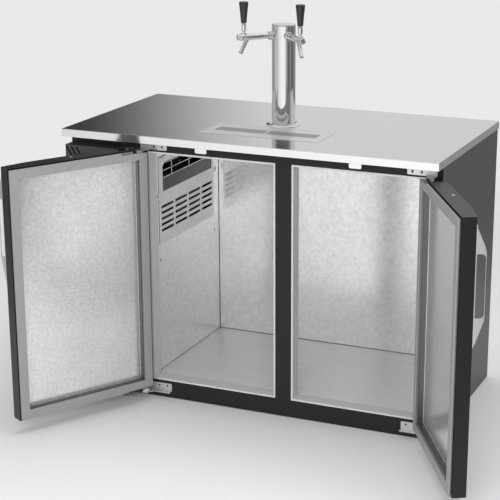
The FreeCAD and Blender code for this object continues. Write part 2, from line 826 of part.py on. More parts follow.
# Partition
# The sheet between the cold room's insulation and the machine compartment, boxed out round the plenum.
partition_sheet = box("partition_sheet", (MACHINE_OUT, MACHINE_FACE), FOAM_Y, ("pan_gauge", DECK_UNDER))
housing = box(
    "plenum_housing",
    (f"{JACKET_X} - panel_gauge", MACHINE_FACE),
    grow(JACKET_Y, "panel_gauge"),
    grow(JACKET_Z, "panel_gauge"),
)
housing_hollow = box("housing_hollow", (JACKET_X, f"{MACHINE_FACE} + 1"), JACKET_Y, JACKET_Z)
node(
    cut("partition", fuse("partition_blank", [partition_sheet, housing]), [housing_hollow]),
    "machine_partition",
)

# Evaporator cover
# A flat cover on the left wall with the fan's opening above five rows of slots and two mounting ears.
COVER_X = (WALL_L, f"{WALL_L} + cover_gauge")
cover_blank = plate(
    "cover_blank",
    "YZ",
    [
        (COVER_Y0, COVER_LOW),
        (COVER_Y1, COVER_LOW),
        (COVER_Y1, COVER_TOP),
        (f"{COVER_Y0} + cover_lap", COVER_TOP),
        (COVER_Y0, f"{COVER_TOP} - cover_lap"),
    ],
    WALL_L,
    f"{WALL_L} + cover_gauge",
)
ears = []
for low, high in (
    (f"{COVER_Y0} - ear_reach", f"{COVER_Y0} + 1"),
    (f"{COVER_Y1} - 1", f"{COVER_Y1} + ear_reach"),
):
    ears.append(
        box(
            "ear",
            COVER_X,
            (low, high),
            (f"{COVER_TOP} - ear_drop - ear_height", f"{COVER_TOP} - ear_drop"),
        ),
    )
FAN_OPEN_Y = (f"{COVER_Y0} + fan_opening_inset", f"{COVER_Y1} - fan_opening_end")
FAN_OPEN_TOP = f"({COVER_TOP} - fan_opening_drop)"
FAN_OPEN_LOW = f"({FAN_OPEN_TOP} - fan_opening_height)"
fan_opening = plate(
    "fan_opening",
    "YZ",
    [
        (FAN_OPEN_Y[0], FAN_OPEN_LOW),
        (FAN_OPEN_Y[1], FAN_OPEN_LOW),
        (FAN_OPEN_Y[1], FAN_OPEN_TOP),
        (f"{FAN_OPEN_Y[0]} + fan_opening_clip", FAN_OPEN_TOP),
        (FAN_OPEN_Y[0], f"{FAN_OPEN_TOP} - fan_opening_clip"),
    ],
    f"{WALL_L} - 1",
    f"{WALL_L} + cover_gauge + 1",
)
VENT_ROOM = f"({COVER_Y1} - {COVER_Y0} - vent_inset - vent_end - (vent_columns - 1) * vent_gap)"
VENT_LENGTH = f"({VENT_ROOM} / vent_columns)"
vents = []
for row in range(int(sizes["vent_rows"])):
    for column in range(int(sizes["vent_columns"])):
        near = f"({COVER_Y0} + vent_inset + {column} * ({VENT_LENGTH} + vent_gap))"
        high = f"({COVER_TOP} - vent_drop - {row} * vent_pitch)"
        vents.append(
            box(
                "vent",
                (f"{WALL_L} - 1", f"{WALL_L} + cover_gauge + 1"),
                (near, f"{near} + {VENT_LENGTH}"),
                (f"{high} - vent_height", high),
            )
        )
cover = cut(
    "cover",
    fuse("cover_sheet", [cover_blank] + ears),
    [fan_opening] + vents + cover_holes("cover_hole", f"{WALL_L} - 0.5", f"{WALL_L} + cover_gauge + 1"),
)
node(cover, "evaporator_cover")

# Fan guard
# Level and upright wires welded to a plain skirt, held behind the fan's opening by the cover.
GUARD_X = f"({WALL_L} - fit_clearance - guard_wire)"
GUARD_Y = (f"({FAN_OPEN_Y[0]} - guard_lap)", f"({FAN_OPEN_Y[1]} + guard_lap)")
GUARD_LOW = f"({FAN_OPEN_LOW} + guard_skirt)"
wires = []
wire_count = int(sizes["guard_wires"])
guard_room = f"({FAN_OPEN_Y[1]} - {FAN_OPEN_Y[0]} - guard_first - guard_last)"
for index in range(wire_count):
    y = f"({FAN_OPEN_Y[0]} + guard_first + {guard_room} * {index} / {wire_count - 1})"
    wires.append(
        rod(
            "guard_upright",
            "z",
            "guard_wire",
            f"{GUARD_LOW} - guard_wire / 2",
            f"{FAN_OPEN_TOP} + guard_lap",
            f"{GUARD_X} - 1.5 * guard_wire",
            y,
        ),
    )
for index in range(int(sizes["guard_rows"])):
    z = f"({GUARD_LOW} + {index} * guard_pitch)"
    wires.append(rod("guard_level", "y", "guard_wire", GUARD_Y[0], GUARD_Y[1], GUARD_X, z))
skirt = box(
    "guard_plate",
    (f"{GUARD_X} - guard_sheet / 2", f"{GUARD_X} + guard_sheet / 2"),
    GUARD_Y,
    (f"{FAN_OPEN_LOW} - guard_lap", GUARD_LOW),
)
node(fuse("guard", wires + [skirt]), "fan_guard")


# Fans
def fan(name, radius, x, y, z, axis):
    """Make a fan with twisted flat blades on a bored hub, with its back face at the given place."""
    hub_points = [
        ("fan_bore + shaft_fit", "0"),
        ("fan_hub_radius", "0"),
        ("fan_hub_radius", "fan_depth"),
        ("fan_bore + shaft_fit", "fan_depth"),
    ]
    parts = [turned(name + "_hub", hub_points, "z")]
    blades = int(sizes["fan_blades"])
    for index in range(blades):
        blade = doc.addObject("Part::Box", fresh(name + "_blade"))
        bind(blade, "Length", f"{radius} - fan_hub_radius + 2")
        bind(blade, "Width", "blade_gauge")
        bind(blade, "Height", "fan_depth / cos(blade_pitch_angle) - 2 * blade_gauge")
        bearing = FreeCAD.Rotation(FreeCAD.Vector(0, 0, 1), 360.0 * index / blades)
        pitch = FreeCAD.Rotation(FreeCAD.Vector(1, 0, 0), sizes["blade_pitch_angle"])
        blade.Placement.Rotation = bearing.multiply(pitch)
        angle = 360.0 / blades * index
        bind(
            blade,
            "Placement.Base.x",
            f"(fan_hub_radius - 2) * cos({angle}) - sin({angle}) * fan_depth * tan(blade_pitch_angle) / 2",
        )
        bind(
            blade,
            "Placement.Base.y",
            f"(fan_hub_radius - 2) * sin({angle}) + cos({angle}) * fan_depth * tan(blade_pitch_angle) / 2",
        )
        bind(blade, "Placement.Base.z", "blade_gauge")
        parts.append(blade)
    wheel = fuse(name + "_wheel", parts)
    wheel.Placement.Rotation = AXIS_TURNS[axis]
    bind(wheel, "Placement.Base.x", x)
    bind(wheel, "Placement.Base.y", y)
    bind(wheel, "Placement.Base.z", z)
    return wheel


EVAPORATOR_Y = f"(({FAN_OPEN_Y[0]} + {FAN_OPEN_Y[1]}) / 2)"
EVAPORATOR_Z = f"(({FAN_OPEN_LOW} + {FAN_OPEN_TOP}) / 2)"
EVAPORATOR_FAN_X = f"({WALL_L} - evaporator_fan_setback - fan_depth)"
node(
    fan("cold_fan", "evaporator_fan_radius", EVAPORATOR_FAN_X, EVAPORATOR_Y, EVAPORATOR_Z, "x"),
    "evaporator_fan",
)
PLENUM_FACE = f"({PLENUM_X} + liner_gauge)"
cold_motor = rod(
    "cold_motor",
    "x",
    "evaporator_motor_radius",
    PLENUM_FACE,
    f"{EVAPORATOR_FAN_X} - evaporator_motor_gap",
    EVAPORATOR_Y,
    EVAPORATOR_Z,
)
cold_shaft = rod(
    "cold_shaft",
    "x",
    "fan_bore",
    f"{EVAPORATOR_FAN_X} - evaporator_motor_gap - 1",
    f"{EVAPORATOR_FAN_X} + fan_depth - 2",
    EVAPORATOR_Y,
    EVAPORATOR_Z,
)
node(fuse("cold_motor_body", [cold_motor, cold_shaft]), "evaporator_motor")

# Evaporator coil
# Fins on tube runs between two end plates that stand on the plenum's floor.
COIL_X0 = f"({PLENUM_FACE} + coil_gap)"
COIL_X1 = f"({COIL_X0} + coil_depth)"
COIL_Z0 = PLENUM_Z[0]
COIL_Z1 = f"({COIL_Z0} + coil_height)"
COIL_Y = f"(({PLENUM_Y[0]} + {PLENUM_Y[1]}) / 2)"
COIL_HALF = f"(({PLENUM_Y[1]} - {PLENUM_Y[0]}) / 2 - coil_end)"
coil_parts = []
fins = int(sizes["coil_fins"])
for index in range(fins):
    y = f"({COIL_Y} + {COIL_HALF} * {2 * index / (fins - 1) - 1})"
    foot = COIL_Z0 if index in (0, fins - 1) else f"{COIL_Z0} + coil_tube_radius"
    fin_span = (f"{y} - fin_gauge / 2", f"{y} + fin_gauge / 2")
    coil_parts.append(box("coil_fin", (COIL_X0, COIL_X1), fin_span, (foot, COIL_Z1)))
for across in (1, 3):
    for level in (1, 3, 5):
        x = f"({COIL_X0} + coil_depth * {across} / 4)"
        z = f"({COIL_Z0} + coil_height * {level} / 6)"
        reach = f"({COIL_HALF} + 2 * coil_tube_radius)"
        ends = (f"{COIL_Y} - {reach}", f"{COIL_Y} + {reach}")
        coil_parts.append(rod("coil_tube", "y", "coil_tube_radius", ends[0], ends[1], x, z))
node(fuse("coil", coil_parts), "evaporator_coil")

# Condensing unit
# The condenser stands behind the front grille, its fan and motor behind it, the compressor at the back.
condenser_parts = []
fins = int(sizes["condenser_fins"])
for index in range(fins):
    x = f"({UNIT_X0} + fin_gauge + ({UNIT_X1} - {UNIT_X0} - 2 * fin_gauge) * {index} / {fins - 1})"
    foot = "pan_gauge" if index in (0, fins - 1) else "pan_gauge + unit_rail_height"
    condenser_parts.append(
        box(
            "condenser_fin",
            (f"{x} - fin_gauge", f"{x} + fin_gauge"),
            (CONDENSER_Y0, CONDENSER_Y1),
            (foot, "pan_gauge + condenser_height"),
        )
    )
for index in range(int(sizes["condenser_tube_rows"])):
    z = f"(pan_gauge + unit_rail_height + (0.5 + {index}) * condenser_tube_pitch)"
    y = f"(({CONDENSER_Y0} + {CONDENSER_Y1}) / 2)"
    condenser_parts.append(
        rod(
            "condenser_tube",
            "x",
            "condenser_tube_radius",
            f"{UNIT_X0} - condenser_tube_radius",
            f"{UNIT_X1} + condenser_tube_radius",
            y,
            z,
        )
    )
node(fuse("condenser", condenser_parts), "condenser_coil")
node(fan("warm_fan", "condenser_fan_radius", UNIT_X, FAN_Y0, "condenser_axis_height", "y"), "condenser_fan")
warm_motor = rod(
    "warm_motor",
    "y",
    "condenser_motor_radius",
    MOTOR_Y0,
    f"{MOTOR_Y0} + condenser_motor_length",
    UNIT_X,
    "condenser_axis_height",
)
warm_shaft = rod(
    "warm_shaft",
    "y",
    "fan_bore",
    f"{FAN_Y0} + 2",
    f"{MOTOR_Y0} + 1",
    UNIT_X,
    "condenser_axis_height",
)
bracket_bar = box(
    "motor_bar",
    (UNIT_X0, UNIT_X1),
    (f"{MOTOR_Y} - foot_gauge / 2", f"{MOTOR_Y} + foot_gauge / 2"),
    (
        "condenser_axis_height - motor_bracket_height / 2",
        "condenser_axis_height + motor_bracket_height / 2",
    ),
)
bracket_legs = []
for low, high in (
    (UNIT_X0, f"{UNIT_X0} + unit_rail_width / 2"),
    (f"{UNIT_X1} - unit_rail_width / 2", UNIT_X1),
):
    bracket_legs.append(
        box(
            "motor_leg",
            (low, high),
            (f"{MOTOR_Y} - foot_gauge / 2", f"{MOTOR_Y} + foot_gauge / 2"),
            (RAIL_TOP, "condenser_axis_height"),
        )
    )
node(fuse("warm_motor_body", [warm_motor, warm_shaft, bracket_bar] + bracket_legs), "condenser_motor")
can_base = f"({RAIL_TOP} + foot_gauge + compressor_lift)"
can = turned(
    "can",
    [
        ("0", can_base),
        ("compressor_radius - compressor_round / 2", can_base),
        ("compressor_radius", f"{can_base} + compressor_round / 2"),
        ("compressor_radius", f"{can_base} + compressor_height - compressor_round"),
        (
            "compressor_radius - compressor_round / 3",
            f"{can_base} + compressor_height - compressor_round / 3",
        ),
        ("compressor_radius - compressor_round", f"{can_base} + compressor_height"),
        ("0", f"{can_base} + compressor_height"),
    ],
    "z",
)
place(can, UNIT_X, COMPRESSOR_Y)
HALF_FOOT = "compressor_foot / 2"
foot_plate = box(
    "foot_plate",
    (f"{UNIT_X} - {HALF_FOOT}", f"{UNIT_X} + {HALF_FOOT}"),
    (f"{COMPRESSOR_Y} - {HALF_FOOT}", f"{COMPRESSOR_Y} + {HALF_FOOT}"),
    (RAIL_TOP, f"{RAIL_TOP} + foot_gauge"),
)
stand = rod("can_stand", "z", "compressor_radius / 2", RAIL_TOP, f"{can_base} + 1", UNIT_X, COMPRESSOR_Y)
node(fuse("compressor_can", [can, foot_plate, stand]), "compressor")

# Front grille
# A tray of sheet in front of the machine compartment with slanted slits in a diagonal field.
GRILLE_FRONT = f"({FACE} - front_reach)"
GRILLE_TOP = f"({DECK} - front_top_gap)"
GRILLE_X0 = f"-{SIDE}"
grille_outer = box("grille_outer", (GRILLE_X0, STILE_L), (GRILLE_FRONT, FACE), ("pan_gauge", GRILLE_TOP))
grille_hollow = box(
    "grille_hollow",
    (f"{GRILLE_X0} + front_gauge", f"{STILE_L} - front_gauge"),
    (f"{GRILLE_FRONT} + front_gauge", f"{FACE} + 1"),
    ("pan_gauge + front_gauge", f"{GRILLE_TOP} - front_gauge"),
)
grille_flange = box(
    "grille_flange",
    (f"{STILE_L} - front_gauge", MACHINE_OUT),
    (f"{FACE} - front_gauge", FACE),
    ("pan_gauge", GRILLE_TOP),
)
slits = []
FIELD_TOP = f"({GRILLE_TOP} - slit_top_gap)"
for row in range(int(sizes["slit_rows"])):
    for column in range(min(int(sizes["slit_first_count"]) + row, int(sizes["slit_limit"]))):
        x = f"({GRILLE_X0} + slit_side_gap + {column} * slit_pitch)"
        z = f"({FIELD_TOP} - {row} * slit_row_pitch)"
        slit = doc.addObject("Part::Box", fresh("slit"))
        bind(slit, "Length", "slit_width")
        bind(slit, "Width", "front_gauge + 2")
        bind(slit, "Height", "slit_length")
        slit.Placement.Rotation = FreeCAD.Rotation(FreeCAD.Vector(0, 1, 0), 147)
        bind(slit, "Placement.Rotation.Angle", "180 - slit_slant")
        bind(slit, "Placement.Base.x", x)
        bind(slit, "Placement.Base.y", f"{GRILLE_FRONT} - 1")
        bind(slit, "Placement.Base.z", z)
        slits.append(slit)
flange_holes = [
    rod(
        "flange_hole",
        "y",
        "screw_shank_radius + screw_hole_gap",
        f"{FACE} - front_gauge - 1",
        f"{FACE} + 0.5",
        GRILLE_SCREW_X,
        height,
    )
    for height in grille_screw_heights
]
grille_tray = cut("grille_tray", grille_outer, [grille_hollow])
node(
    cut("grille", fuse("grille_sheet", [grille_tray, grille_flange]), slits + flange_holes),
    "front_grille",
)

# Screws
# Screws of the front grille and of the evaporator cover. The tower flange adds its own.
screws = []
for height in grille_screw_heights:
    head = rod(
        "grille_screw_head",
        "y",
        "screw_head_radius",
        f"{FACE} - front_gauge - screw_head_height",
        f"{FACE} - front_gauge",
        GRILLE_SCREW_X,
        height,
    )
    shank = rod(
        "grille_screw_shank",
        "y",
        "screw_shank_radius",
        f"{FACE} - front_gauge - 1",
        f"{FACE} + rail_wall",
        GRILLE_SCREW_X,
        height,
    )
    screws.append(fuse("grille_screw", [head, shank]))
for y, z in cover_screws:
    head = rod(
        "cover_screw_head",
        "x",
        "screw_head_radius",
        f"{WALL_L} + cover_gauge",
        f"{WALL_L} + cover_gauge + screw_head_height",
        y,
        z,
    )
    shank = rod(
        "cover_screw_shank",
        "x",
        "screw_shank_radius",
        WALL_L_BACK,
        f"{WALL_L} + cover_gauge + 1",
        y,
        z,
    )
    screws.append(fuse("cover_screw", [head, shank]))

# Drip tray
# A shallow well with a flat rim on the counter and a drain spout under its middle.
tray_rim = box(
    "tray_rim",
    ("-tray_width / 2", "tray_width / 2"),
    (TRAY_FRONT, TRAY_BACK),
    (DECK, f"{DECK} + tray_rim_gauge"),
)
tray_tub = box(
    "tray_tub",
    (f"-{WELL_X}", WELL_X),
    (WELL_FRONT, WELL_BACK),
    (TRAY_FLOOR, f"{DECK} + tray_rim_gauge"),
)
TUB_X = f"({WELL_X} - tray_rim_gauge)"
TUB_Y = (f"({WELL_FRONT} + tray_rim_gauge)", f"({WELL_BACK} - tray_rim_gauge)")
tray_hollow = box(
    "tray_hollow",
    (f"-{TUB_X}", TUB_X),
    TUB_Y,
    (f"{TRAY_FLOOR} + tray_rim_gauge", f"{DECK} + tray_rim_gauge + 1"),
)
spout = rod(
    "tray_spout",
    "z",
    "drain_radius",
    f"{TRAY_FLOOR} - drain_length",
    f"{TRAY_FLOOR} + tray_rim_gauge",
    "0",
    DRAIN_Y,
)
spout_hole = rod(
    "tray_drain",
    "z",
    "drain_radius - tray_rim_gauge",
    f"{TRAY_FLOOR} - drain_length - 1",
    f"{TRAY_FLOOR} + tray_rim_gauge + 1",
    "0",
    DRAIN_Y,
)
node(cut("tray", fuse("tray_blank", [tray_rim, tray_tub, spout]), [tray_hollow, spout_hole]), "drip_tray")

# Drip grille
# A lift-out plate with turned-down ends that stands in the tray, slotted in two blocks.
PLATE_X = f"({TUB_X} - tray_clearance)"
PLATE_Y = (f"({TUB_Y[0]} + tray_clearance)", f"({TUB_Y[1]} - tray_clearance)")
PLATE_TOP = f"({DECK} + grille_proud)"
PLATE_FOOT = f"({TRAY_FLOOR} + tray_rim_gauge)"
plate_blank = box("drip_blank", (f"-{PLATE_X}", PLATE_X), PLATE_Y, (PLATE_FOOT, PLATE_TOP))
plate_hollow = box(
    "drip_hollow",
    (f"-{PLATE_X} + grille_gauge", f"{PLATE_X} - grille_gauge"),
    (f"{PLATE_Y[0]} - 1", f"{PLATE_Y[1]} + 1"),
    (f"{PLATE_FOOT} - 1", f"{PLATE_TOP} - grille_gauge"),
)
SLOT_FRONT = f"({WELL_FRONT} + drip_slot_front)"
drip_slots = []
for sense in (-1, 1):
    for index in range(int(sizes["drip_slots"])):
        x = f"(({sense}) * (drip_block_gap + {index} * drip_slot_pitch))"
        drip_slots.append(
            box(
                "drip_slot",
                (f"{x} - drip_slot_width / 2", f"{x} + drip_slot_width / 2"),
                (SLOT_FRONT, f"{SLOT_FRONT} + drip_slot_length"),
                (f"{PLATE_TOP} - grille_gauge - 1", f"{PLATE_TOP} + 1"),
            )
        )
node(cut("drip_plate", plate_blank, [plate_hollow] + drip_slots), "drip_grille")

# Draft tower
# A flange on the counter, a tube column and a lift-off cap.
COLUMN_OUT = "(column_radius + cap_clearance)"
flange_blank = turned(
    "flange_blank",
    [
        (COLUMN_OUT, DECK),
        ("flange_radius", DECK),
        ("flange_radius", f"{DECK} + flange_rise / 3"),
        ("flange_radius - flange_rise / 3", f"{DECK} + flange_rise * 2 / 3"),
        ("flange_radius - flange_rise", f"{DECK} + flange_rise"),
        (COLUMN_OUT, f"{DECK} + flange_rise"),
    ],
    "z",
)
place(flange_blank, "0", TOWER_Y)
flange_drills = []
for index in range(int(sizes["flange_screws"])):
    angle = 360.0 * (index + 0.5) / int(sizes["flange_screws"])
    x = f"flange_screw_radius * cos({angle})"
    y = f"{TOWER_Y} + flange_screw_radius * sin({angle})"
    flange_drills.append(
        rod(
            "flange_drill",
            "z",
            "screw_shank_radius + screw_hole_gap",
            f"{DECK} - 1",
            f"{DECK} + flange_rise + 1",
            x,
            y,
        )
    )
    head = rod(
        "flange_screw_head",
        "z",
        "screw_head_radius",
        f"{DECK} + flange_rise",
        f"{DECK} + flange_rise + screw_head_height",
        x,
        y,
    )
    shank = rod("flange_screw_shank", "z", "screw_shank_radius", DECK, f"{DECK} + flange_rise + 1", x, y)
    screws.append(fuse("flange_screw", [head, shank]))
node(cut("flange", flange_blank, flange_drills), "tower_flange")
node(group("screws", screws), "cabinet_screws")

column_outer = rod("column_outer", "z", "column_radius", DECK, f"{TOWER_TOP} - cap_thickness", "0", TOWER_Y)
column_inner = rod("column_inner", "z", BORE, f"{DECK} - 1", f"{TOWER_TOP} + 1", "0", TOWER_Y)
TAP_ANGLES = {"left": "-90 - tap_spread", "right": "-90 + tap_spread"}
shank_drills = []
for side, angle in TAP_ANGLES.items():
    drill = rod(
        "shank_drill_" + side,
        "x",
        "shank_radius + thread_clearance",
        "0",
        "2 * column_radius",
        "0",
        TAP_Z,
    )
    turned_drill = group("shank_drill_turned", [drill])
    place(turned_drill, "0", TOWER_Y, angle)
    shank_drills.append(turned_drill)
node(cut("column", column_outer, [column_inner] + shank_drills), "tower_column")
cap_points = [
    ("0", f"{TOWER_TOP} - cap_thickness - cap_spigot"),
    (f"{BORE} - cap_clearance", f"{TOWER_TOP} - cap_thickness - cap_spigot"),
    (f"{BORE} - cap_clearance", f"{TOWER_TOP} - cap_thickness"),
    ("column_radius", f"{TOWER_TOP} - cap_thickness"),
    ("column_radius", f"{TOWER_TOP} - cap_thickness / 3"),
    ("column_radius - cap_thickness / 3", TOWER_TOP),
    ("0", TOWER_TOP),
]
cap = turned("cap", cap_points, "z")
place(cap, "0", TOWER_Y)
node(cap, "tower_cap")

# Taps
# Each tap is built along +X from the tower's axis and turned to its place.
PIVOT_Z = f"({TAP_Z} + lever_pivot_rise)"
shanks = []
nuts = []
lines = []
for side, angle in TAP_ANGLES.items():
    shank_body = rod(side + "_shank", "x", "shank_radius", "shank_tail", "shank_reach", "0", TAP_Z)
    collar = rod(
        side + "_collar",
        "x",
        "collar_radius",
        "column_radius - collar_depth",
        "collar_reach",
        "0",
        TAP_Z,
    )
    tower_core = rod(
        side + "_core",
        "z",
        "column_radius + fit_clearance",
        f"{TAP_Z} - 40",
        f"{TAP_Z} + 40",
        "0",
        "0",
    )
    collar_cut = cut(side + "_collar_seat", collar, [tower_core])
    shank_hole = rod(
        side + "_shank_hole",
        "x",
        "shank_bore",
        "shank_tail - 1",
        "shank_reach + 1",
        "0",
        TAP_Z,
    )
    shank = cut(side + "_shank_bored", fuse(side + "_shank_blank", [shank_body, collar_cut]), [shank_hole])
    place(shank, "0", TOWER_Y, angle)
    shanks.append(shank)

    nut_blank = rod(side + "_nut", "x", "nut_radius", "collar_reach", "nut_reach", "0", TAP_Z)
    nut_thread = rod(
        side + "_nut_thread",
        "x",
        "shank_radius + thread_clearance",
        "collar_reach - 1",
        "shank_reach + 3",
        "0",
        TAP_Z,
    )
    nut_mouth = rod(
        side + "_nut_mouth",
        "x",
        "body_neck_radius + thread_clearance",
        "shank_reach",
        "nut_reach + 1",
        "0",
        TAP_Z,
    )
    nut = cut(side + "_nut_bored", nut_blank, [nut_thread, nut_mouth])
    place(nut, "0", TOWER_Y, angle)
    nuts.append(nut)

    barrel = turned(
        side + "_barrel",
        [
            ("shank_reach", "0"),
            ("shank_reach", "shank_radius"),
            ("shank_reach + 2.8", "shank_radius"),
            ("shank_reach + 2.8", "body_neck_radius"),
            ("nut_reach + 4", "body_neck_radius"),
            ("nut_reach + 14", "body_neck_radius + 0.7"),
            ("spout_start - 6", "body_radius"),
            ("body_reach - 12", "body_radius"),
            ("body_reach - 4", "body_nose_radius"),
            ("body_reach", "body_nose_radius"),
            ("body_reach", "0"),
        ],
        "x",
    )
    bind(barrel, "Placement.Base.z", TAP_Z)
    bonnet = rod(
        side + "_bonnet",
        "z",
        "bonnet_radius",
        TAP_Z,
        f"{TAP_Z} + bonnet_rise",
        "lever_reach",
        "0",
    )
    lean = "atan((spout_end - spout_start) / spout_drop)"
    spout_tubes = []
    for label, radius, extra in (("_spout", "spout_radius", "0"), ("_spout_bore", "spout_bore", "4")):
        spout_tube = doc.addObject("Part::Cylinder", fresh(side + label))
        bind(spout_tube, "Radius", radius)
        bind(spout_tube, "Height", f"spout_drop / cos({lean}) + {extra}")
        spout_tube.Placement.Rotation = FreeCAD.Rotation(FreeCAD.Vector(0, 1, 0), 170)
        bind(spout_tube, "Placement.Rotation.Angle", f"180 deg - {lean}")
        bind(spout_tube, "Placement.Base.x", "spout_start")
        bind(spout_tube, "Placement.Base.z", TAP_Z)
        spout_tubes.append(spout_tube)
    body_blank = fuse(side + "_body_blank", [barrel, bonnet, spout_tubes[0]])
    bonnet_hole = rod(
        side + "_bonnet_hole",
        "z",
        "bonnet_bore",
        f"{PIVOT_Z} - lever_tail_drop - 1",
        f"{TAP_Z} + bonnet_rise + 1",
        "lever_reach",
        "0",
    )
    valve_hole = rod(side + "_valve_hole", "x", "valve_bore", "shank_reach - 1", "lever_reach", "0", TAP_Z)
    body = cut(side + "_body", body_blank, [bonnet_hole, valve_hole, spout_tubes[1]])
    place(body, "0", TOWER_Y, angle)
    node(body, "faucet_body_" + side)

    ball = doc.addObject("Part::Sphere", fresh(side + "_ball"))
    bind(ball, "Radius", "ball_radius")
    bind(ball, "Placement.Base.x", "lever_reach")
    bind(ball, "Placement.Base.z", PIVOT_Z)
    stem = rod(
        side + "_stem",
        "z",
        "stem_radius",
        PIVOT_Z,
        f"{PIVOT_Z} + handle_base - lever_pivot_rise + handle_socket - 1",
        "lever_reach",
        "0",
    )
    tail = rod(
        side + "_tail",
        "z",
        "lever_tail_radius",
        f"{PIVOT_Z} - lever_tail_drop",
        PIVOT_Z,
        "lever_reach",
        "0",
    )
    ferrule = rod(
        side + "_ferrule",
        "z",
        "ferrule_radius",
        f"{TAP_Z} + ferrule_base",
        f"{TAP_Z} + handle_base",
        "lever_reach",
        "0",
    )
    lever = fuse(side + "_lever", [ball, stem, tail, ferrule])
    place(lever, "0", TOWER_Y, angle)
    node(lever, "tap_lever_" + side)

    handle_low = f"({TAP_Z} + handle_base)"
    handle_points = [
        ("stem_radius + fit_clearance", handle_low),
        ("handle_low_radius - 1", handle_low),
        ("handle_low_radius", f"{handle_low} + 1.5"),
        ("handle_high_radius", f"{handle_low} + handle_length - 4"),
        ("handle_high_radius - 1", f"{handle_low} + handle_length - 1"),
        ("handle_high_radius - 3", f"{handle_low} + handle_length"),
        ("0", f"{handle_low} + handle_length"),
        ("0", f"{handle_low} + handle_socket"),
        ("stem_radius + fit_clearance", f"{handle_low} + handle_socket"),
    ]
    grip = turned(side + "_grip", handle_points, "z")
    bind(grip, "Placement.Base.x", "lever_reach")
    grip_turned = group(side + "_grip_turned", [grip])
    place(grip_turned, "0", TOWER_Y, angle)
    node(grip_turned, "tap_handle_" + side)

    valve_end = "(lever_reach - lever_tail_radius - valve_gap)"
    valve_rod = rod(
        side + "_valve_rod",
        "x",
        "valve_bore - valve_fit",
        "valve_tail",
        f"{valve_end} - valve_tip_length",
        "0",
        TAP_Z,
    )
    valve_tip = rod(
        side + "_valve_tip",
        "x",
        "valve_tip_radius",
        f"{valve_end} - valve_tip_length - 1",
        valve_end,
        "0",
        TAP_Z,
    )
    valve = fuse(side + "_valve", [valve_rod, valve_tip])
    valve_turned = group(side + "_valve_turned", [valve])
    place(valve_turned, "0", TOWER_Y, angle)
    node(valve_turned, "valve_shaft_" + side)

    # A beer line leaves the shank's tail, bends down in the column and ends under the cold room's ceiling.
    bend = sizes["line_bend"]
    height = sizes["counter_height"] + sizes["tower_height"] - sizes["tap_drop"]
    tail_x = sizes["shank_tail"]
    straight = tail_x - sizes["line_straight"]
    middle = FreeCAD.Vector(
        straight - bend * math.sin(math.pi / 4),
        0,
        height - bend + bend * math.cos(math.pi / 4),
    )
    low_end = FreeCAD.Vector(straight - bend, 0, sizes["counter_height"] - sizes["line_end"])
    arc_end = FreeCAD.Vector(straight - bend, 0, height - bend)
    start = FreeCAD.Vector(tail_x, 0, height)
    arc_start = FreeCAD.Vector(straight, 0, height)
    path = Part.Wire(
        [
            Part.LineSegment(start, arc_start).toShape(),
            Part.Arc(arc_start, middle, arc_end).toShape(),
            Part.LineSegment(arc_end, low_end).toShape(),
        ]
    )
    section = Part.Wire([Part.Circle(start, FreeCAD.Vector(-1, 0, 0), sizes["line_radius"]).toShape()])
    line = doc.addObject("Part::Feature", fresh(side + "_line"))
    line.Shape = path.makePipeShell([section], True, False)
    place(line, "0", TOWER_Y, angle)
    lines.append(line)
node(group("shanks", shanks), "tap_shanks")
node(group("nuts", nuts), "coupling_nuts")
node(group("lines", lines), "beer_lines")

# Doors
# Each door is built closed along +X from its hinge axis and turned about it to the open angle.
# The left door is the mirror image of the right one.
GASKET_Z = (f"({DOOR_LOW} + gasket_margin_end)", f"({DOOR_TOP} - gasket_margin_end)")
GASKET_A = ("(-door_heel + gasket_margin_heel)", f"({REACH} - gasket_margin_free)")
PAN_A = (f"({GASKET_A[0]} + gasket_width + pan_margin)", f"({GASKET_A[1]} - gasket_width - pan_margin)")
PAN_Z = (f"({GASKET_Z[0]} + gasket_width + pan_margin)", f"({GASKET_Z[1]} - gasket_width - pan_margin)")
OUTER = "(door_thickness - door_inner)"
INNER = "(-door_inner)"
NOTCH_Z = f"({DOOR_TOP} - notch_depth)"
HINGE_TOP_Z = f"({OPEN_HIGH} + hinge_top_rise)"
BUSH_RADIUS = "(bush_radius + fit_clearance)"
BOLT_B = "(bolt_seat - door_inner)"
LOCK_Z = f"({DOOR_TOP} - lock_drop)"

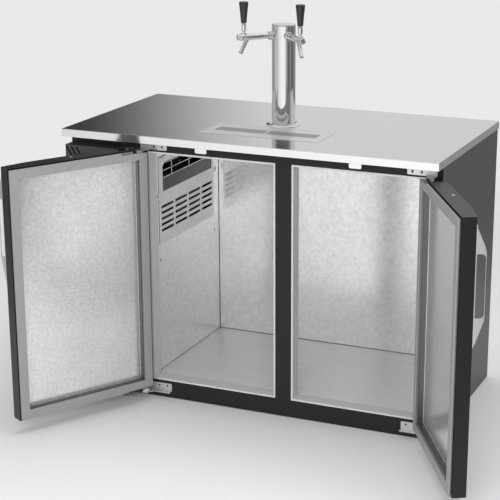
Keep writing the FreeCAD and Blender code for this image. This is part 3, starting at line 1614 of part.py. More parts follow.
for side, hand in (("left", -1), ("right", 1)):
    pin_x = PIN_L if side == "left" else PIN_R
    door_angle = "-door_open_angle" if side == "left" else "180 + door_open_angle"

    def span(low, high):
        """Order a span across the door's thickness for this hand."""
        if hand > 0:
            return (low, high)
        return (f"-({high})", f"-({low})")

    def at(formula):
        """Give a place across the door's thickness for this hand."""
        return f"({hand}) * ({formula})"

    def hang(item, name):
        """Hang a piece of the door at its hinge axis."""
        place(item, pin_x, PIN_Y, door_angle)
        return node(item, side + name)

    def door_profile(name, inset, low, high):
        """Pad the door's plan, tapered toward its free end, drawn in by the given wall."""
        points = [
            (f"-door_heel + {inset}", at(f"{INNER} + {inset}")),
            (f"{REACH} - {inset}", at(f"{INNER} + {inset}")),
            (f"{REACH} - {inset}", at(f"{OUTER} - bevel_drop - {inset}")),
            (f"{REACH} - bevel_run", at(f"{OUTER} - {inset}")),
            (f"-door_heel + {inset}", at(f"{OUTER} - {inset}")),
        ]
        return plate(side + name, "XY", points, low, high)

    def notch(name, grown):
        """Make the two boxes that clear the upper hinge bracket."""
        head = f"{DOOR_TOP} + 1"
        inner_notch = box(
            side + name,
            ("-door_heel - 1", f"-door_heel + notch_open + {grown}"),
            span(f"{INNER} - 1", f"{OUTER} + 1"),
            (f"{NOTCH_Z} - {grown}", head),
        )
        outer_notch = box(
            side + name,
            ("-door_heel - 1", f"-door_heel + notch_length + {grown}"),
            span(f"{INNER} + notch_rim - {grown}", f"{OUTER} + 1"),
            (f"{NOTCH_Z} - {grown}", head),
        )
        return [inner_notch, outer_notch]

    # Shell
    shell_outer = cut(
        side + "_shell_outer",
        door_profile("_shell_plan", "0", DOOR_LOW, DOOR_TOP),
        notch("_notch", "0"),
    )
    cavity = cut(
        side + "_cavity",
        door_profile("_cavity_plan", "door_gauge", f"{DOOR_LOW} + door_gauge", f"{DOOR_TOP} - door_gauge"),
        notch("_cavity_notch", "door_gauge"),
    )
    pan_window = box(
        side + "_pan_window",
        PAN_A,
        span(f"{INNER} - 1", f"{INNER} + pan_recess + pan_sheet"),
        PAN_Z,
    )
    cylinder_span = span(
        f"{OUTER} + cylinder_proud - cylinder_length - cylinder_end_gap",
        f"{OUTER} + cylinder_proud + 1",
    )
    cylinder_hole = rod(
        side + "_cylinder_hole", "y", "cylinder_radius + fit_clearance",
        cylinder_span[0], cylinder_span[1],
        "lock_reach", LOCK_Z,
    )
    bolt_hole = rod(
        side + "_bolt_hole", "z", "bolt_radius + fit_clearance",
        f"{DOOR_TOP} + bolt_proud - bolt_length", f"{DOOR_TOP} + 1", "lock_reach", at(BOLT_B),
    )
    low_bush_hole = rod(
        side + "_low_bush_hole",
        "z",
        BUSH_RADIUS,
        f"{DOOR_LOW} - 1",
        f"{DOOR_LOW} + bush_depth",
        "0",
        "0",
    )
    top_bush_hole = rod(
        side + "_top_bush_hole",
        "z",
        BUSH_RADIUS,
        f"{NOTCH_Z} - bush_depth",
        f"{NOTCH_Z} + 1",
        "0",
        "0",
    )
    hollows = [pan_window, cylinder_hole, bolt_hole, low_bush_hole, top_bush_hole]
    hang(cut(side + "_shell", shell_outer, [cavity] + hollows), "_door_shell")
    hang(cut(side + "_foam_core", cavity, hollows), "_door_foam")

    # Inner pan
    pan_outer = box(side + "_pan_outer", PAN_A, span(INNER, f"{INNER} + pan_recess + pan_sheet"), PAN_Z)
    pan_inner = box(
        side + "_pan_inner",
        (f"{PAN_A[0]} + pan_sheet", f"{PAN_A[1]} - pan_sheet"),
        span(f"{INNER} - 1", f"{INNER} + pan_recess"),
        (f"{PAN_Z[0]} + pan_sheet", f"{PAN_Z[1]} - pan_sheet"),
    )
    hang(cut(side + "_pan", pan_outer, [pan_inner]), "_door_liner")

    # Gasket
    # A wide sealing face on a narrower foot, bevelled at the heel so that it swings clear of the posts.
    lip_b = f"({INNER} - gasket_proud + gasket_lip)"
    face_b = f"({INNER} - gasket_proud)"
    bevel_b = "(-sqrt(gasket_sweep ^ 2 - (door_heel - gasket_margin_heel) ^ 2))"
    lip = plate(
        side + "_gasket_face",
        "XY",
        [
            (GASKET_A[0], at(lip_b)),
            (GASKET_A[0], at(bevel_b)),
            ("0", at(face_b)),
            (GASKET_A[1], at(face_b)),
            (GASKET_A[1], at(lip_b)),
        ],
        GASKET_Z[0],
        GASKET_Z[1],
    )
    foot_a = (f"{GASKET_A[0]} + gasket_waist", f"{GASKET_A[1]} - gasket_waist")
    foot_z = (f"{GASKET_Z[0]} + gasket_waist", f"{GASKET_Z[1]} - gasket_waist")
    foot = box(side + "_gasket_foot", foot_a, span(lip_b, INNER), foot_z)
    window = box(
        side + "_gasket_window",
        (f"{GASKET_A[0]} + gasket_width", f"{GASKET_A[1]} - gasket_width"),
        span(f"{face_b} - 1", f"{INNER} + 1"),
        (f"{GASKET_Z[0]} + gasket_width", f"{GASKET_Z[1]} - gasket_width"),
    )
    corner = box(
        side + "_gasket_corner",
        (f"{GASKET_A[0]} - 1", "-door_heel + notch_open"),
        span(f"{face_b} - 1", f"{INNER} + 1"),
        (f"{HINGE_TOP_Z} - gasket_clearance", f"{GASKET_Z[1]} + 1"),
    )
    reliefs = []
    for low, high in (
        (f"{HINGE_TOP_Z} - gasket_clearance", f"{GASKET_Z[1]} + 1"),
        (f"{GASKET_Z[0]} - 1", "hinge_base + hinge_low_height + gasket_clearance"),
    ):
        reliefs.append(
            box(
                side + "_gasket_relief",
                (f"{GASKET_A[0]} - 1", "hinge_reach + hinge_relief"),
                span(f"{face_b} - 1", f"{face_b} + gasket_relief"),
                (low, high),
            )
        )
    hang(
        cut(side + "_seal", fuse(side + "_seal_blank", [lip, foot]), [window, corner] + reliefs),
        "_door_gasket",
    )

    # Handle
    # A flat plate across the free end with a finger window, on a flange that lies on the bevelled face.
    end_b = f"({OUTER} - bevel_drop)"
    slope = "(bevel_drop / bevel_run)"
    blade_b = f"({end_b} + handle_gauge * {slope})"
    head_z = f"({DOOR_TOP} - handle_top_gap)"
    shoulder_z = f"({head_z} - handle_slant_top)"
    straight_top = f"({shoulder_z} - handle_corner)"
    straight_low = f"({straight_top} - handle_straight)"
    slant_low = f"({straight_low} - handle_slant_low)"
    foot_low = f"({slant_low} - handle_foot)"
    blade = plate(
        side + "_handle_blade",
        "YZ",
        [
            (at(blade_b), head_z),
            (at(f"{end_b} + handle_outset - handle_taper"), shoulder_z),
            (at(f"{end_b} + handle_outset"), straight_top),
            (at(f"{end_b} + handle_outset"), straight_low),
            (at(f"{end_b} + handle_lower_outset"), slant_low),
            (at(blade_b), foot_low),
        ],
        f"{REACH} - handle_gauge",
        REACH,
    )
    window_b = (f"{end_b} + window_outset", f"{end_b} + handle_outset - window_inset")
    window_z = (f"{straight_low} + window_drop", f"{straight_top} - window_drop")
    finger_window = plate(
        side + "_finger_window",
        "YZ",
        [
            (at(window_b[0]), window_z[0]),
            (at(window_b[1]), window_z[0]),
            (at(window_b[1]), window_z[1]),
            (at(window_b[0]), window_z[1]),
        ],
        f"{REACH} - handle_gauge - 1",
        f"{REACH} + 1",
        rounds=[1, 2],
        radius="window_round",
    )
    flange = plate(
        side + "_handle_flange",
        "XY",
        [
            (REACH, at(end_b)),
            (REACH, at(f"{end_b} + handle_gauge")),
            (f"{REACH} - handle_flange", at(f"{end_b} + handle_flange * {slope} + handle_gauge")),
            (f"{REACH} - handle_flange", at(f"{end_b} + handle_flange * {slope}")),
        ],
        foot_low,
        head_z,
    )
    hang(fuse(side + "_handle", [cut(side + "_blade_cut", blade, [finger_window]), flange]), "_door_handle")

    # Lock
    # A key cylinder in the face lifts a bolt behind the counter's lock tab.
    barrel_span = span(f"{OUTER} + cylinder_proud - cylinder_length", f"{OUTER} + cylinder_proud")
    barrel = rod(
        side + "_cylinder_barrel",
        "y",
        "cylinder_radius",
        barrel_span[0],
        barrel_span[1],
        "lock_reach",
        LOCK_Z,
    )
    key_slot = box(
        side + "_key_slot",
        ("lock_reach - key_slot_width / 2", "lock_reach + key_slot_width / 2"),
        span(f"{OUTER} + cylinder_proud - key_slot_depth", f"{OUTER} + cylinder_proud + 1"),
        (f"{LOCK_Z} - key_slot_length / 2", f"{LOCK_Z} + key_slot_length / 2"),
    )
    hang(cut(side + "_cylinder", barrel, [key_slot]), "_lock_cylinder")
    bolt = rod(
        side + "_bolt",
        "z",
        "bolt_radius",
        f"{DOOR_TOP} + bolt_proud - bolt_length",
        f"{DOOR_TOP} + bolt_proud",
        "lock_reach",
        at(BOLT_B),
    )
    hang(group(side + "_bolt_hung", [bolt]), "_lock_bolt")

    # Bushes
    # Nylon bushes in the door's bottom and in the floor of its notch carry it on the hinge pins.
    low_seat = f"(hinge_base + hinge_lug + bush_gap)"
    low_bush = fuse(
        side + "_low_bush_blank",
        [
            rod(side + "_low_bush_head", "z", "bush_head_radius", low_seat, DOOR_LOW, "0", "0"),
            rod(
                side + "_low_bush_stem",
                "z",
                "bush_radius",
                DOOR_LOW,
                f"{DOOR_LOW} + bush_depth - fit_clearance",
                "0",
                "0",
            ),
        ],
    )
    top_bush = fuse(
        side + "_top_bush_blank",
        [
            rod(
                side + "_top_bush_head",
                "z",
                "bush_head_radius",
                NOTCH_Z,
                f"{HINGE_TOP_Z} - bush_gap",
                "0",
                "0",
            ),
            rod(
                side + "_top_bush_stem",
                "z",
                "bush_radius",
                f"{NOTCH_Z} - bush_depth + fit_clearance",
                NOTCH_Z,
                "0",
                "0",
            ),
        ],
    )
    bores = []
    for low, high in (
        (f"{low_seat} - 1", f"{DOOR_LOW} + bush_depth + 1"),
        (f"{NOTCH_Z} - bush_depth - 1", f"{HINGE_TOP_Z} + 1"),
    ):
        bores.append(rod(side + "_bush_bore", "z", "pin_radius + fit_clearance / 2", low, high, "0", "0"))
    bush_pair = group(
        side + "_bushes",
        [cut(side + "_low_bush", low_bush, [bores[0]]), cut(side + "_top_bush", top_bush, [bores[1]])],
    )
    hang(bush_pair, "_door_bushes")

# Hinge brackets
# Slotted plates on the face frame with bent lugs that carry riveted pins.
brackets = []
for pin_x, sense in ((PIN_L, -1), (PIN_R, 1)):
    far = f"{pin_x} - ({sense}) * hinge_reach"
    end = f"{pin_x} + ({sense}) * hinge_end"
    tongue = f"{pin_x} - ({sense}) * hinge_end"
    root = f"{pin_x} - ({sense}) * 2 * hinge_end"
    tip = f"{PIN_Y} - hinge_end"
    for level in ("top", "low"):
        if level == "top":
            low, high = HINGE_TOP_Z, f"{HINGE_TOP_Z} + hinge_top_height"
            lug_points = [(root, FACE), (tongue, PIN_Y), (tongue, tip), (end, tip), (end, FACE)]
            lug_rounds = [2, 3]
            corner_rounds = [0]
            slot_z = f"({low} + hinge_top_height / 2)"
            pin_span = (f"{HINGE_TOP_Z} - pin_top_length", f"{HINGE_TOP_Z} + 1")
        else:
            low, high = "hinge_base", "hinge_base + hinge_low_height"
            ledge = f"{FACE} - hinge_ledge"
            lug_points = [
                (far, FACE),
                (far, ledge),
                (root, ledge),
                (tongue, PIN_Y),
                (tongue, tip),
                (end, tip),
                (end, FACE),
            ]
            lug_rounds = [4, 5]
            corner_rounds = [3]
            slot_z = "(hinge_base + hinge_slot_low)"
            pin_span = ("hinge_base + 1", "hinge_base + hinge_lug + pin_length")
        web = plate(
            "hinge_web",
            "XZ",
            [(far, low), (end, low), (end, high), (far, high)],
            f"{FACE} - hinge_gauge",
            FACE,
            rounds=corner_rounds,
            radius="hinge_corner",
        )
        lug = plate(
            "hinge_lug",
            "XY",
            lug_points,
            low,
            f"{low} + hinge_lug",
            rounds=lug_rounds,
            radius="hinge_corner",
        )
        pin = rod("hinge_pin", "z", "pin_radius", pin_span[0], pin_span[1], pin_x, PIN_Y)
        holes = []
        for offset in ("hinge_slot_far", "hinge_slot_near"):
            x = f"({pin_x} - ({sense}) * {offset})"
            spread = "(hinge_slot_height - hinge_slot_width) / 2"
            through = (f"{FACE} - hinge_gauge - 1", f"{FACE} + 1")
            for z in (f"{slot_z} - {spread}", f"{slot_z} + {spread}"):
                holes.append(
                    rod("hinge_slot_end", "y", "hinge_slot_width / 2", through[0], f"{FACE} - 0.01", x, z),
                )
            holes.append(
                box(
                    "hinge_slot",
                    (f"{x} - hinge_slot_width / 2", f"{x} + hinge_slot_width / 2"),
                    (through[0], f"{FACE} + 0.01"),
                    (f"{slot_z} - {spread}", f"{slot_z} + {spread}"),
                )
            )
        brackets.append(cut("hinge_bracket", fuse("hinge_blank", [web, lug, pin]), holes))
node(group("brackets", brackets), "hinge_brackets")

# Check every object, then write one file for each piece
doc.recompute()
for item in doc.Objects:
    if "Invalid" in item.State or "Error" in item.State:
        raise RuntimeError(f"{item.Name} ({item.Label}) failed: {item.State}")
for item in nodes:
    if item.Shape.isNull() or not item.Shape.isValid() or not item.Shape.Solids:
        raise RuntimeError(f"{item.Label} has no valid solid")
os.makedirs("parts", exist_ok=True)
for item in nodes:
    item.Shape.exportStep(f"parts/{item.Label}.step")
print(len(nodes), "pieces,", sum(len(item.Shape.Solids) for item in nodes), "solids")
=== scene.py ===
import math

import bpy
from mathutils import Matrix, Vector


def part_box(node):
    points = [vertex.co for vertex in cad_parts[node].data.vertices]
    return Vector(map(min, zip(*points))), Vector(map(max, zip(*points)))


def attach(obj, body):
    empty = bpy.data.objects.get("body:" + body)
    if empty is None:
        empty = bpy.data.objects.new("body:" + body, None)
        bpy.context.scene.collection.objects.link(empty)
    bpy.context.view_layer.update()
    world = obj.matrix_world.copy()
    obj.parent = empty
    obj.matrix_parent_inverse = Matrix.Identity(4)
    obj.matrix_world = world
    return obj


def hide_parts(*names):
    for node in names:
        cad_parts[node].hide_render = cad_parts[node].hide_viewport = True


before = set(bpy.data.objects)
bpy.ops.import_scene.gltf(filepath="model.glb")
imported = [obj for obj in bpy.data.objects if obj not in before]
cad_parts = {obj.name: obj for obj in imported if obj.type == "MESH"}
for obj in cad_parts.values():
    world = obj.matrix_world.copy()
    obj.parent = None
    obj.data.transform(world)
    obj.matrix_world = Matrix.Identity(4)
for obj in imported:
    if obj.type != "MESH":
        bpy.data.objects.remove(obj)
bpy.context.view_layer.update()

scene = bpy.context.scene
scene.view_settings.view_transform = "Standard"

# Camera
# The photograph looks at the front and right side from a little above the counter, with a long lens.
bpy.ops.object.camera_add(
    location=(1.8700, -4.4493, 1.8945),
    rotation=(math.radians(73.05), 0.0, math.radians(23.04)),
)
camera = bpy.context.object
camera.name = "photograph_camera"
camera.data.sensor_width = 36.0
camera.data.lens = 108.05
camera.data.shift_x = -0.0535
camera.data.shift_y = 0.0294
camera.data.clip_end = 100.0
scene.camera = camera


# Studio
# A pale floor under an even sky, with a large lamp in front, one above and a weaker one at the right.
# Polished steel mirrors white and grey cards round the machine, and a backdrop that is darker at the left.
class Signal:
    """One output of a node tree. Sums and products of signals add their own Math nodes."""

    def __init__(self, tree, socket):
        self.tree = tree
        self.socket = socket

    def calculate(self, operation, first, second=None, third=None):
        return self.tree.node("ShaderNodeMath", {"operation": operation}, {0: first, 1: second, 2: third})

    def __add__(self, other):
        return self.calculate("ADD", self, other)

    def __radd__(self, other):
        return self.calculate("ADD", other, self)

    def __sub__(self, other):
        return self.calculate("SUBTRACT", self, other)

    def __rsub__(self, other):
        return self.calculate("SUBTRACT", other, self)

    def __mul__(self, other):
        return self.calculate("MULTIPLY", self, other)

    def __rmul__(self, other):
        return self.calculate("MULTIPLY", other, self)

    def size(self):
        return self.calculate("ABSOLUTE", self)

    def root(self):
        return self.calculate("SQRT", self)

    def most(self, other):
        return self.calculate("MAXIMUM", self, other)

    def near(self, value, inner, outer):
        """Give 1 within the inner distance of a value and 0 beyond the outer one."""
        return 1.0 - (self - value).size().rise(inner, outer)

    def rise(self, low, high, bottom=0.0, top=1.0):
        """Rise smoothly from bottom to top between two values."""
        settings = {"interpolation_type": "SMOOTHSTEP"}
        sockets = {0: self, 1: low, 2: high, 3: bottom, 4: top}
        return self.tree.node("ShaderNodeMapRange", settings, sockets)


class Tree:
    """A node tree of the sky or of a finish."""

    def __init__(self, nodes):
        self.nodes = nodes

    def node(self, kind, settings=None, sockets=None, output=0):
        """Add a node with its settings, then feed its sockets with values or signals."""
        made = self.nodes.nodes.new(kind)
        for key, value in (settings or {}).items():
            if key == "stops":
                ramp = made.color_ramp
                while len(ramp.elements) < len(value):
                    ramp.elements.new(0.5)
                for element, (position, level) in zip(ramp.elements, value):
                    element.position = position
                    element.color = (level, level, level, 1.0)
            else:
                setattr(made, key, value)
        for key, value in (sockets or {}).items():
            self.feed(made.inputs[key], value)
        return Signal(self, made.outputs[output])

    def feed(self, socket, value):
        """Link a signal to a socket, or set the socket's own value."""
        if isinstance(value, Signal):
            self.nodes.links.new(value.socket, socket)
        elif value is not None:
            socket.default_value = value

    def blend(self, share, first, second):
        """Mix two colours by a share."""
        settings = {"data_type": "RGBA"}
        return self.node("ShaderNodeMix", settings, {0: share, 6: first, 7: second}, output=2)

    def axes(self, vector):
        """Part a vector into its three numbers."""
        parts = self.node("ShaderNodeSeparateXYZ", None, {0: vector})
        return [Signal(self, socket) for socket in parts.socket.node.outputs]

    def turn(self, across, along):
        """Give the bearing of a flat direction in half turns, 0 where it points along."""
        angle = self.node("ShaderNodeMath", {"operation": "ARCTAN2"}, {0: across, 1: along})
        return angle * (1.0 / math.pi)

    def ray(self, kind):
        """Tell one kind of ray from the others."""
        path = self.node("ShaderNodeLightPath").socket.node
        return Signal(self, path.outputs["Is " + kind + " Ray"])


def grey(level):
    """Give a neutral colour."""
    return (level, level, level, 1.0)


world = bpy.data.worlds.new("soft_studio")
scene.world = world
world.use_nodes = True
sky = Tree(world.node_tree)
backdrop = world.node_tree.nodes["Background"]
backdrop.inputs["Color"].default_value = grey(1.0)
toward = sky.axes(sky.node("ShaderNodeTexCoord", output="Generated"))
# The bearing runs from 0 straight behind the machine to plus and minus 1 in front of it.
bearing = sky.turn(toward[0], toward[1])
# The backdrop is dark at the left of the photograph's view and grey again farther round.
behind = bearing.rise(-0.173, -0.123, 0.05, 0.75) + bearing.rise(-0.30, -0.22, 0.55, 0.0)
behind = behind * (1.0 - bearing.rise(0.35, 0.6, 0.0, 0.7))
in_front = bearing.size().rise(0.55, 0.75)
# In front the sky is pale near the horizon, dark above that, and grey higher up.
low_front = toward[2].rise(0.203, 0.213, 0.34, 0.0)
high_front = toward[2].rise(0.235, 0.270, 0.0, 0.62)
walls = behind * (1.0 - in_front) + in_front * (low_front + high_front)
overhead = toward[2].rise(0.50, 0.80)
mirrored = walls * (1.0 - overhead) + overhead * 0.95
seen = sky.ray("Camera").most(sky.ray("Transmission"))
glossy = sky.ray("Glossy")
level = (1.0 - glossy) * 0.55 + glossy * mirrored
level = level * (1.0 - seen) + seen * 0.86
sky.feed(backdrop.inputs["Strength"], level)


class Finish(Tree):
    """A procedural finish round one Principled shader, laid out on the piece's own place in the frame."""

    def __init__(self, name, metallic=0.0, roughness=0.5, **sockets):
        self.material = bpy.data.materials.new(name)
        self.material.use_nodes = True
        super().__init__(self.material.node_tree)
        self.shader = self.nodes.nodes["Principled BSDF"]
        self.set("Metallic", metallic)
        self.set("Roughness", roughness)
        for socket, value in sockets.items():
            self.set(socket.replace("_", " "), value)
        self.place = self.node("ShaderNodeTexCoord", output="Object")

    def set(self, socket, value):
        """Set or link a socket of the shader."""
        self.feed(self.shader.inputs[socket], value)

    def along(self, axis):
        """Give the place along one axis of the frame."""
        return self.axes(self.place)[axis]

    def stretched(self, scale):
        """Stretch the place along the axes."""
        return self.node("ShaderNodeMapping", None, {"Vector": self.place, "Scale": scale})

    def noise(self, scale, detail=2.0, place=None):
        """Make soft noise of a number of lumps in a metre."""
        sockets = {"Vector": place or self.place, "Scale": scale, "Detail": detail}
        return self.node("ShaderNodeTexNoise", None, sockets)

    def cells(self, scale):
        """Give each crystal of a number in a metre its own random number."""
        sockets = {"Vector": self.place, "Scale": scale}
        return self.axes(self.node("ShaderNodeTexVoronoi", None, sockets, output=1))[0]

    def bump(self, height, depth):
        """Raise the surface by a height signal of a depth in metres."""
        normal = self.node("ShaderNodeBump", None, {"Distance": depth, "Height": height})
        self.set("Normal", normal)

    def colour(self, share, first, second):
        """Colour the surface between two colours."""
        self.set("Base Color", self.blend(share, first, second))

    def shade(self, share, level):
        """Turn the colour towards a grey by a share."""
        tone = self.shader.inputs["Base Color"].links[0].from_socket
        self.set("Base Color", self.blend(share, Signal(self, tone), grey(level)))


bpy.ops.object.select_all(action="DESELECT")
bpy.ops.mesh.primitive_plane_add(size=60.0, location=(0.0, 0.0, -0.0005))
floor = bpy.context.object
floor.name = "studio_floor"
pale_floor = Finish("pale_floor", roughness=0.9)
pale_floor.colour(pale_floor.noise(3.0), grey(0.79), grey(0.81))
floor_x, floor_y = pale_floor.axes(pale_floor.place)[:2]
# The cards' bearing runs from 0.5 straight in front to 0 and 1 behind, and grows towards the right.
card_bearing = pale_floor.turn(floor_x, floor_y * -1.0) * 0.5 + 0.5
cards = pale_floor.node(
    "ShaderNodeValToRGB",
    {
        "stops": (
            (0.00, 0.25),
            (0.13, 0.40),
            (0.22, 0.27),
            (0.27, 0.28),
            (0.33, 0.62),
            (0.37, 0.46),
            (0.43, 0.76),
            (0.50, 0.95),
            (0.59, 0.95),
            (0.64, 0.36),
            (0.70, 0.08),
            (0.755, 0.27),
            (0.80, 0.10),
            (0.88, 0.21),
            (1.00, 0.25),
        )
    },
    {0: card_bearing},
)
card_glow = pale_floor.node("ShaderNodeEmission", None, {"Color": cards, "Strength": 1.2})
far_glow = pale_floor.node("ShaderNodeEmission", None, {"Color": grey(0.82), "Strength": 1.0})
reach = (floor_x * floor_x + floor_y * floor_y).root()
far = reach.rise(1.6, 3.6) * pale_floor.ray("Camera")
past_room = reach.rise(1.5, 2.1) * pale_floor.ray("Glossy")
output = pale_floor.nodes.nodes["Material Output"]
lit = Signal(pale_floor, pale_floor.shader.outputs[0])
paled = pale_floor.node("ShaderNodeMixShader", None, {0: far, 1: lit, 2: far_glow})
mirrored_floor = pale_floor.node("ShaderNodeMixShader", None, {0: past_room, 1: paled, 2: card_glow})
pale_floor.feed(output.inputs["Surface"], mirrored_floor)
floor.data.materials.append(pale_floor.material)


def soft_lamp(name, place, aim, width, height, power):
    """Hang a rectangular lamp and point it."""
    bpy.ops.object.light_add(type="AREA", location=place)
    lamp = bpy.context.object
    lamp.name = name
    lamp.data.shape = "RECTANGLE"
    lamp.data.size = width
    lamp.data.size_y = height
    lamp.data.energy = power
    direction = [aim[axis] - place[axis] for axis in range(3)]
    flat = math.hypot(direction[0], direction[1])
    tilt = math.pi / 2 + math.atan2(direction[2], flat)
    heading = math.atan2(-direction[0], direction[1])
    lamp.rotation_euler = (tilt, 0.0, heading)
    lamp.visible_glossy = False


soft_lamp("front_lamp", (1.0, -4.8, 2.0), (0.1, 0.0, 0.5), 3.2, 2.4, 130.0)
soft_lamp("top_lamp", (0.3, 0.4, 4.2), (0.0, 0.0, 0.8), 3.6, 2.6, 70.0)
soft_lamp("right_lamp", (5.0, -0.6, 2.2), (0.3, 0.0, 0.5), 2.4, 2.4, 45.0)


# Bottom pan and back panel
# Two folded sheets of galvanised steel that carry the machine and close the cabinet behind.
# Hidden sheet is duller than the lining, and its cut edges are slightly broken.
def galvanised(name, dark, light, roughness, grain=110.0, metallic=0.5, lumps=70.0):
    """Zinc with faint crystals, a fine mottle and soft clouds."""
    zinc = Finish(name, metallic=metallic)
    crystals = zinc.cells(grain)
    mottle = zinc.noise(lumps, detail=4.0)
    cloud = zinc.noise(5.0)
    share = crystals * 0.08 + mottle.rise(0.37, 0.63) * 0.62 + cloud.rise(0.3, 0.7) * 0.30
    zinc.colour(share, grey(dark), grey(light))
    zinc.set("Roughness", cloud.rise(0.3, 0.7, roughness + 0.03, roughness - 0.03))
    return zinc


def dress(finish, *nodes):
    """Give CAD nodes a finish."""
    for name in nodes:
        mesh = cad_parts[name].data
        mesh.materials.clear()
        mesh.materials.append(finish.material)


def settle(piece, finish, body, slot, *nodes):
    """Finish a piece, let it ride on its body and stand for its CAD nodes."""
    piece.data.materials.clear()
    piece.data.materials.append(finish.material)
    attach(piece, body)
    if nodes:
        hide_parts(*nodes)


def soften(piece, edge, segments):
    """Round the sharp edges of the active piece and weight the shading by the size of the faces."""
    bpy.ops.object.modifier_add(type="BEVEL")
    bevel = piece.modifiers[-1]
    bevel.width = edge
    bevel.segments = segments
    bevel.limit_method = "ANGLE"
    bevel.angle_limit = math.radians(30.0)
    bevel.use_clamp_overlap = False
    bpy.ops.object.modifier_apply(modifier=bevel.name)
    bpy.ops.object.shade_smooth()
    bpy.ops.object.modifier_add(type="WEIGHTED_NORMAL")
    weighted = piece.modifiers[-1]
    weighted.keep_sharp = False
    bpy.ops.object.modifier_apply(modifier=weighted.name)


def rounded(node, finish, body, slot, edge, segments=2):
    """Copy a node's mesh, weld it, round its sharp edges and let it stand for the node."""
    bpy.ops.object.select_all(action="DESELECT")
    piece = bpy.data.objects.new(node + "_finished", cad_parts[node].data.copy())
    scene.collection.objects.link(piece)
    bpy.context.view_layer.objects.active = piece
    piece.select_set(True)
    bpy.ops.mesh.customdata_custom_splitnormals_clear()
    bpy.ops.object.mode_set(mode="EDIT")
    bpy.ops.mesh.select_mode(type="EDGE")
    bpy.ops.mesh.select_all(action="SELECT")
    bpy.ops.mesh.remove_doubles(threshold=0.000001)
    bpy.ops.mesh.dissolve_limited(angle_limit=math.radians(0.4))
    bpy.ops.object.mode_set(mode="OBJECT")
    soften(piece, edge, segments)
    settle(piece, finish, body, slot, node)


hidden_zinc = galvanised("hidden_zinc", dark=0.34, light=0.52, roughness=0.42)
rounded("bottom_pan", hidden_zinc, "cabinet", "galvanised", edge=0.0004)
rounded("back_panel", hidden_zinc, "cabinet", "galvanised", edge=0.0003)
dress(hidden_zinc, "machine_partition")


# Condensing unit
# A black steel compressor at the back, and a finned coil with its fan and motor behind the front grille.
def painted_steel(name, level, roughness):
    """Satin paint with a fine orange peel, a faint change of tone and rubbed patches."""
    paint = Finish(name, roughness=roughness, Specular_IOR_Level=0.3)
    cloud = paint.noise(2.5)
    grain = paint.noise(900.0, detail=3.0)
    rub = paint.noise(14.0, detail=5.0).rise(0.55, 0.85)
    paint.colour(cloud * 0.7 + rub * 0.3, grey(level * 0.88), grey(level * 1.18))
    paint.set("Roughness", grain.rise(0.2, 0.8, roughness - 0.05, roughness + 0.07))
    paint.bump(grain, 0.00004)
    return paint


def plated(name, level, roughness):
    """Bright plate with a trace of smears."""
    plate = Finish(name, metallic=1.0)
    smear = plate.noise(18.0, detail=3.0)
    fine = plate.noise(260.0)
    plate.colour(smear * 0.7 + fine * 0.3, grey(level * 0.93), grey(level))
    plate.set("Roughness", smear.rise(0.3, 0.8, roughness, roughness + 0.05))
    return plate


machine_paint = painted_steel("machine_paint", level=0.022, roughness=0.33)
rounded("compressor", machine_paint, "cabinet", "motor_black", edge=0.004, segments=3)
rounded("condenser_motor", machine_paint, "cabinet", "motor_black", edge=0.0008)
fin_metal = plated("fin_metal", level=0.62, roughness=0.38)
dress(fin_metal, "condenser_coil", "evaporator_coil")


def moulded(name, level, roughness, grain=600.0):
    """Moulded plastic or rubber with a fine grain and a faint mottle."""
    plastic = Finish(name, roughness=roughness)
    texture = plastic.noise(grain, detail=3.0)
    mottle = plastic.noise(30.0)
    plastic.colour(texture * 0.6 + mottle * 0.4, grey(level * 0.86), grey(level * 1.04))
    plastic.set("Roughness", texture.rise(0.2, 0.8, roughness - 0.04, roughness + 0.06))
    plastic.bump(texture, 0.00003)
    return plastic


fan_black = moulded("fan_black", level=0.028, roughness=0.42)
dress(fan_black, "condenser_fan", "evaporator_fan")


# Cold room
# Rigid foam is cast between the cabinet's sheets and the lining of galvanised walls and a stainless floor.
# The sheets meet in dark joints at the corners.
def cast_foam(name):
    """Pale yellow foam. Gives its finish and its fine bubbles."""
    foam = Finish(name, roughness=0.9)
    bubbles = foam.noise(700.0, detail=3.0)
    foam.colour(bubbles, (0.72, 0.60, 0.36, 1.0), (0.84, 0.74, 0.50, 1.0))
    return foam, bubbles


def lined(name, light, metallic, joints):
    """Galvanised lining that darkens in a narrow line at its joints."""
    joint_core = 0.0012
    joint_edge = 0.0026
    wall = galvanised(name, dark=light * 0.84, light=light, roughness=0.20, metallic=metallic)
    for axis, value in joints:
        wall.shade(wall.along(axis).near(value, joint_core, joint_edge), 0.05)
    return wall


corner_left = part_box("liner_left_wall")[1][0]
corner_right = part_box("liner_right_wall")[0][0]
corner_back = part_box("liner_back_wall")[0][1]
corner_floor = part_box("liner_floor")[1][2]
back_joints = ((0, corner_left), (0, corner_right), (2, corner_floor))
side_joints = ((1, corner_back), (2, corner_floor))
back_zinc = lined("back_zinc", light=0.98, metallic=0.75, joints=back_joints)
side_zinc = lined("side_zinc", light=0.96, metallic=0.6, joints=side_joints)
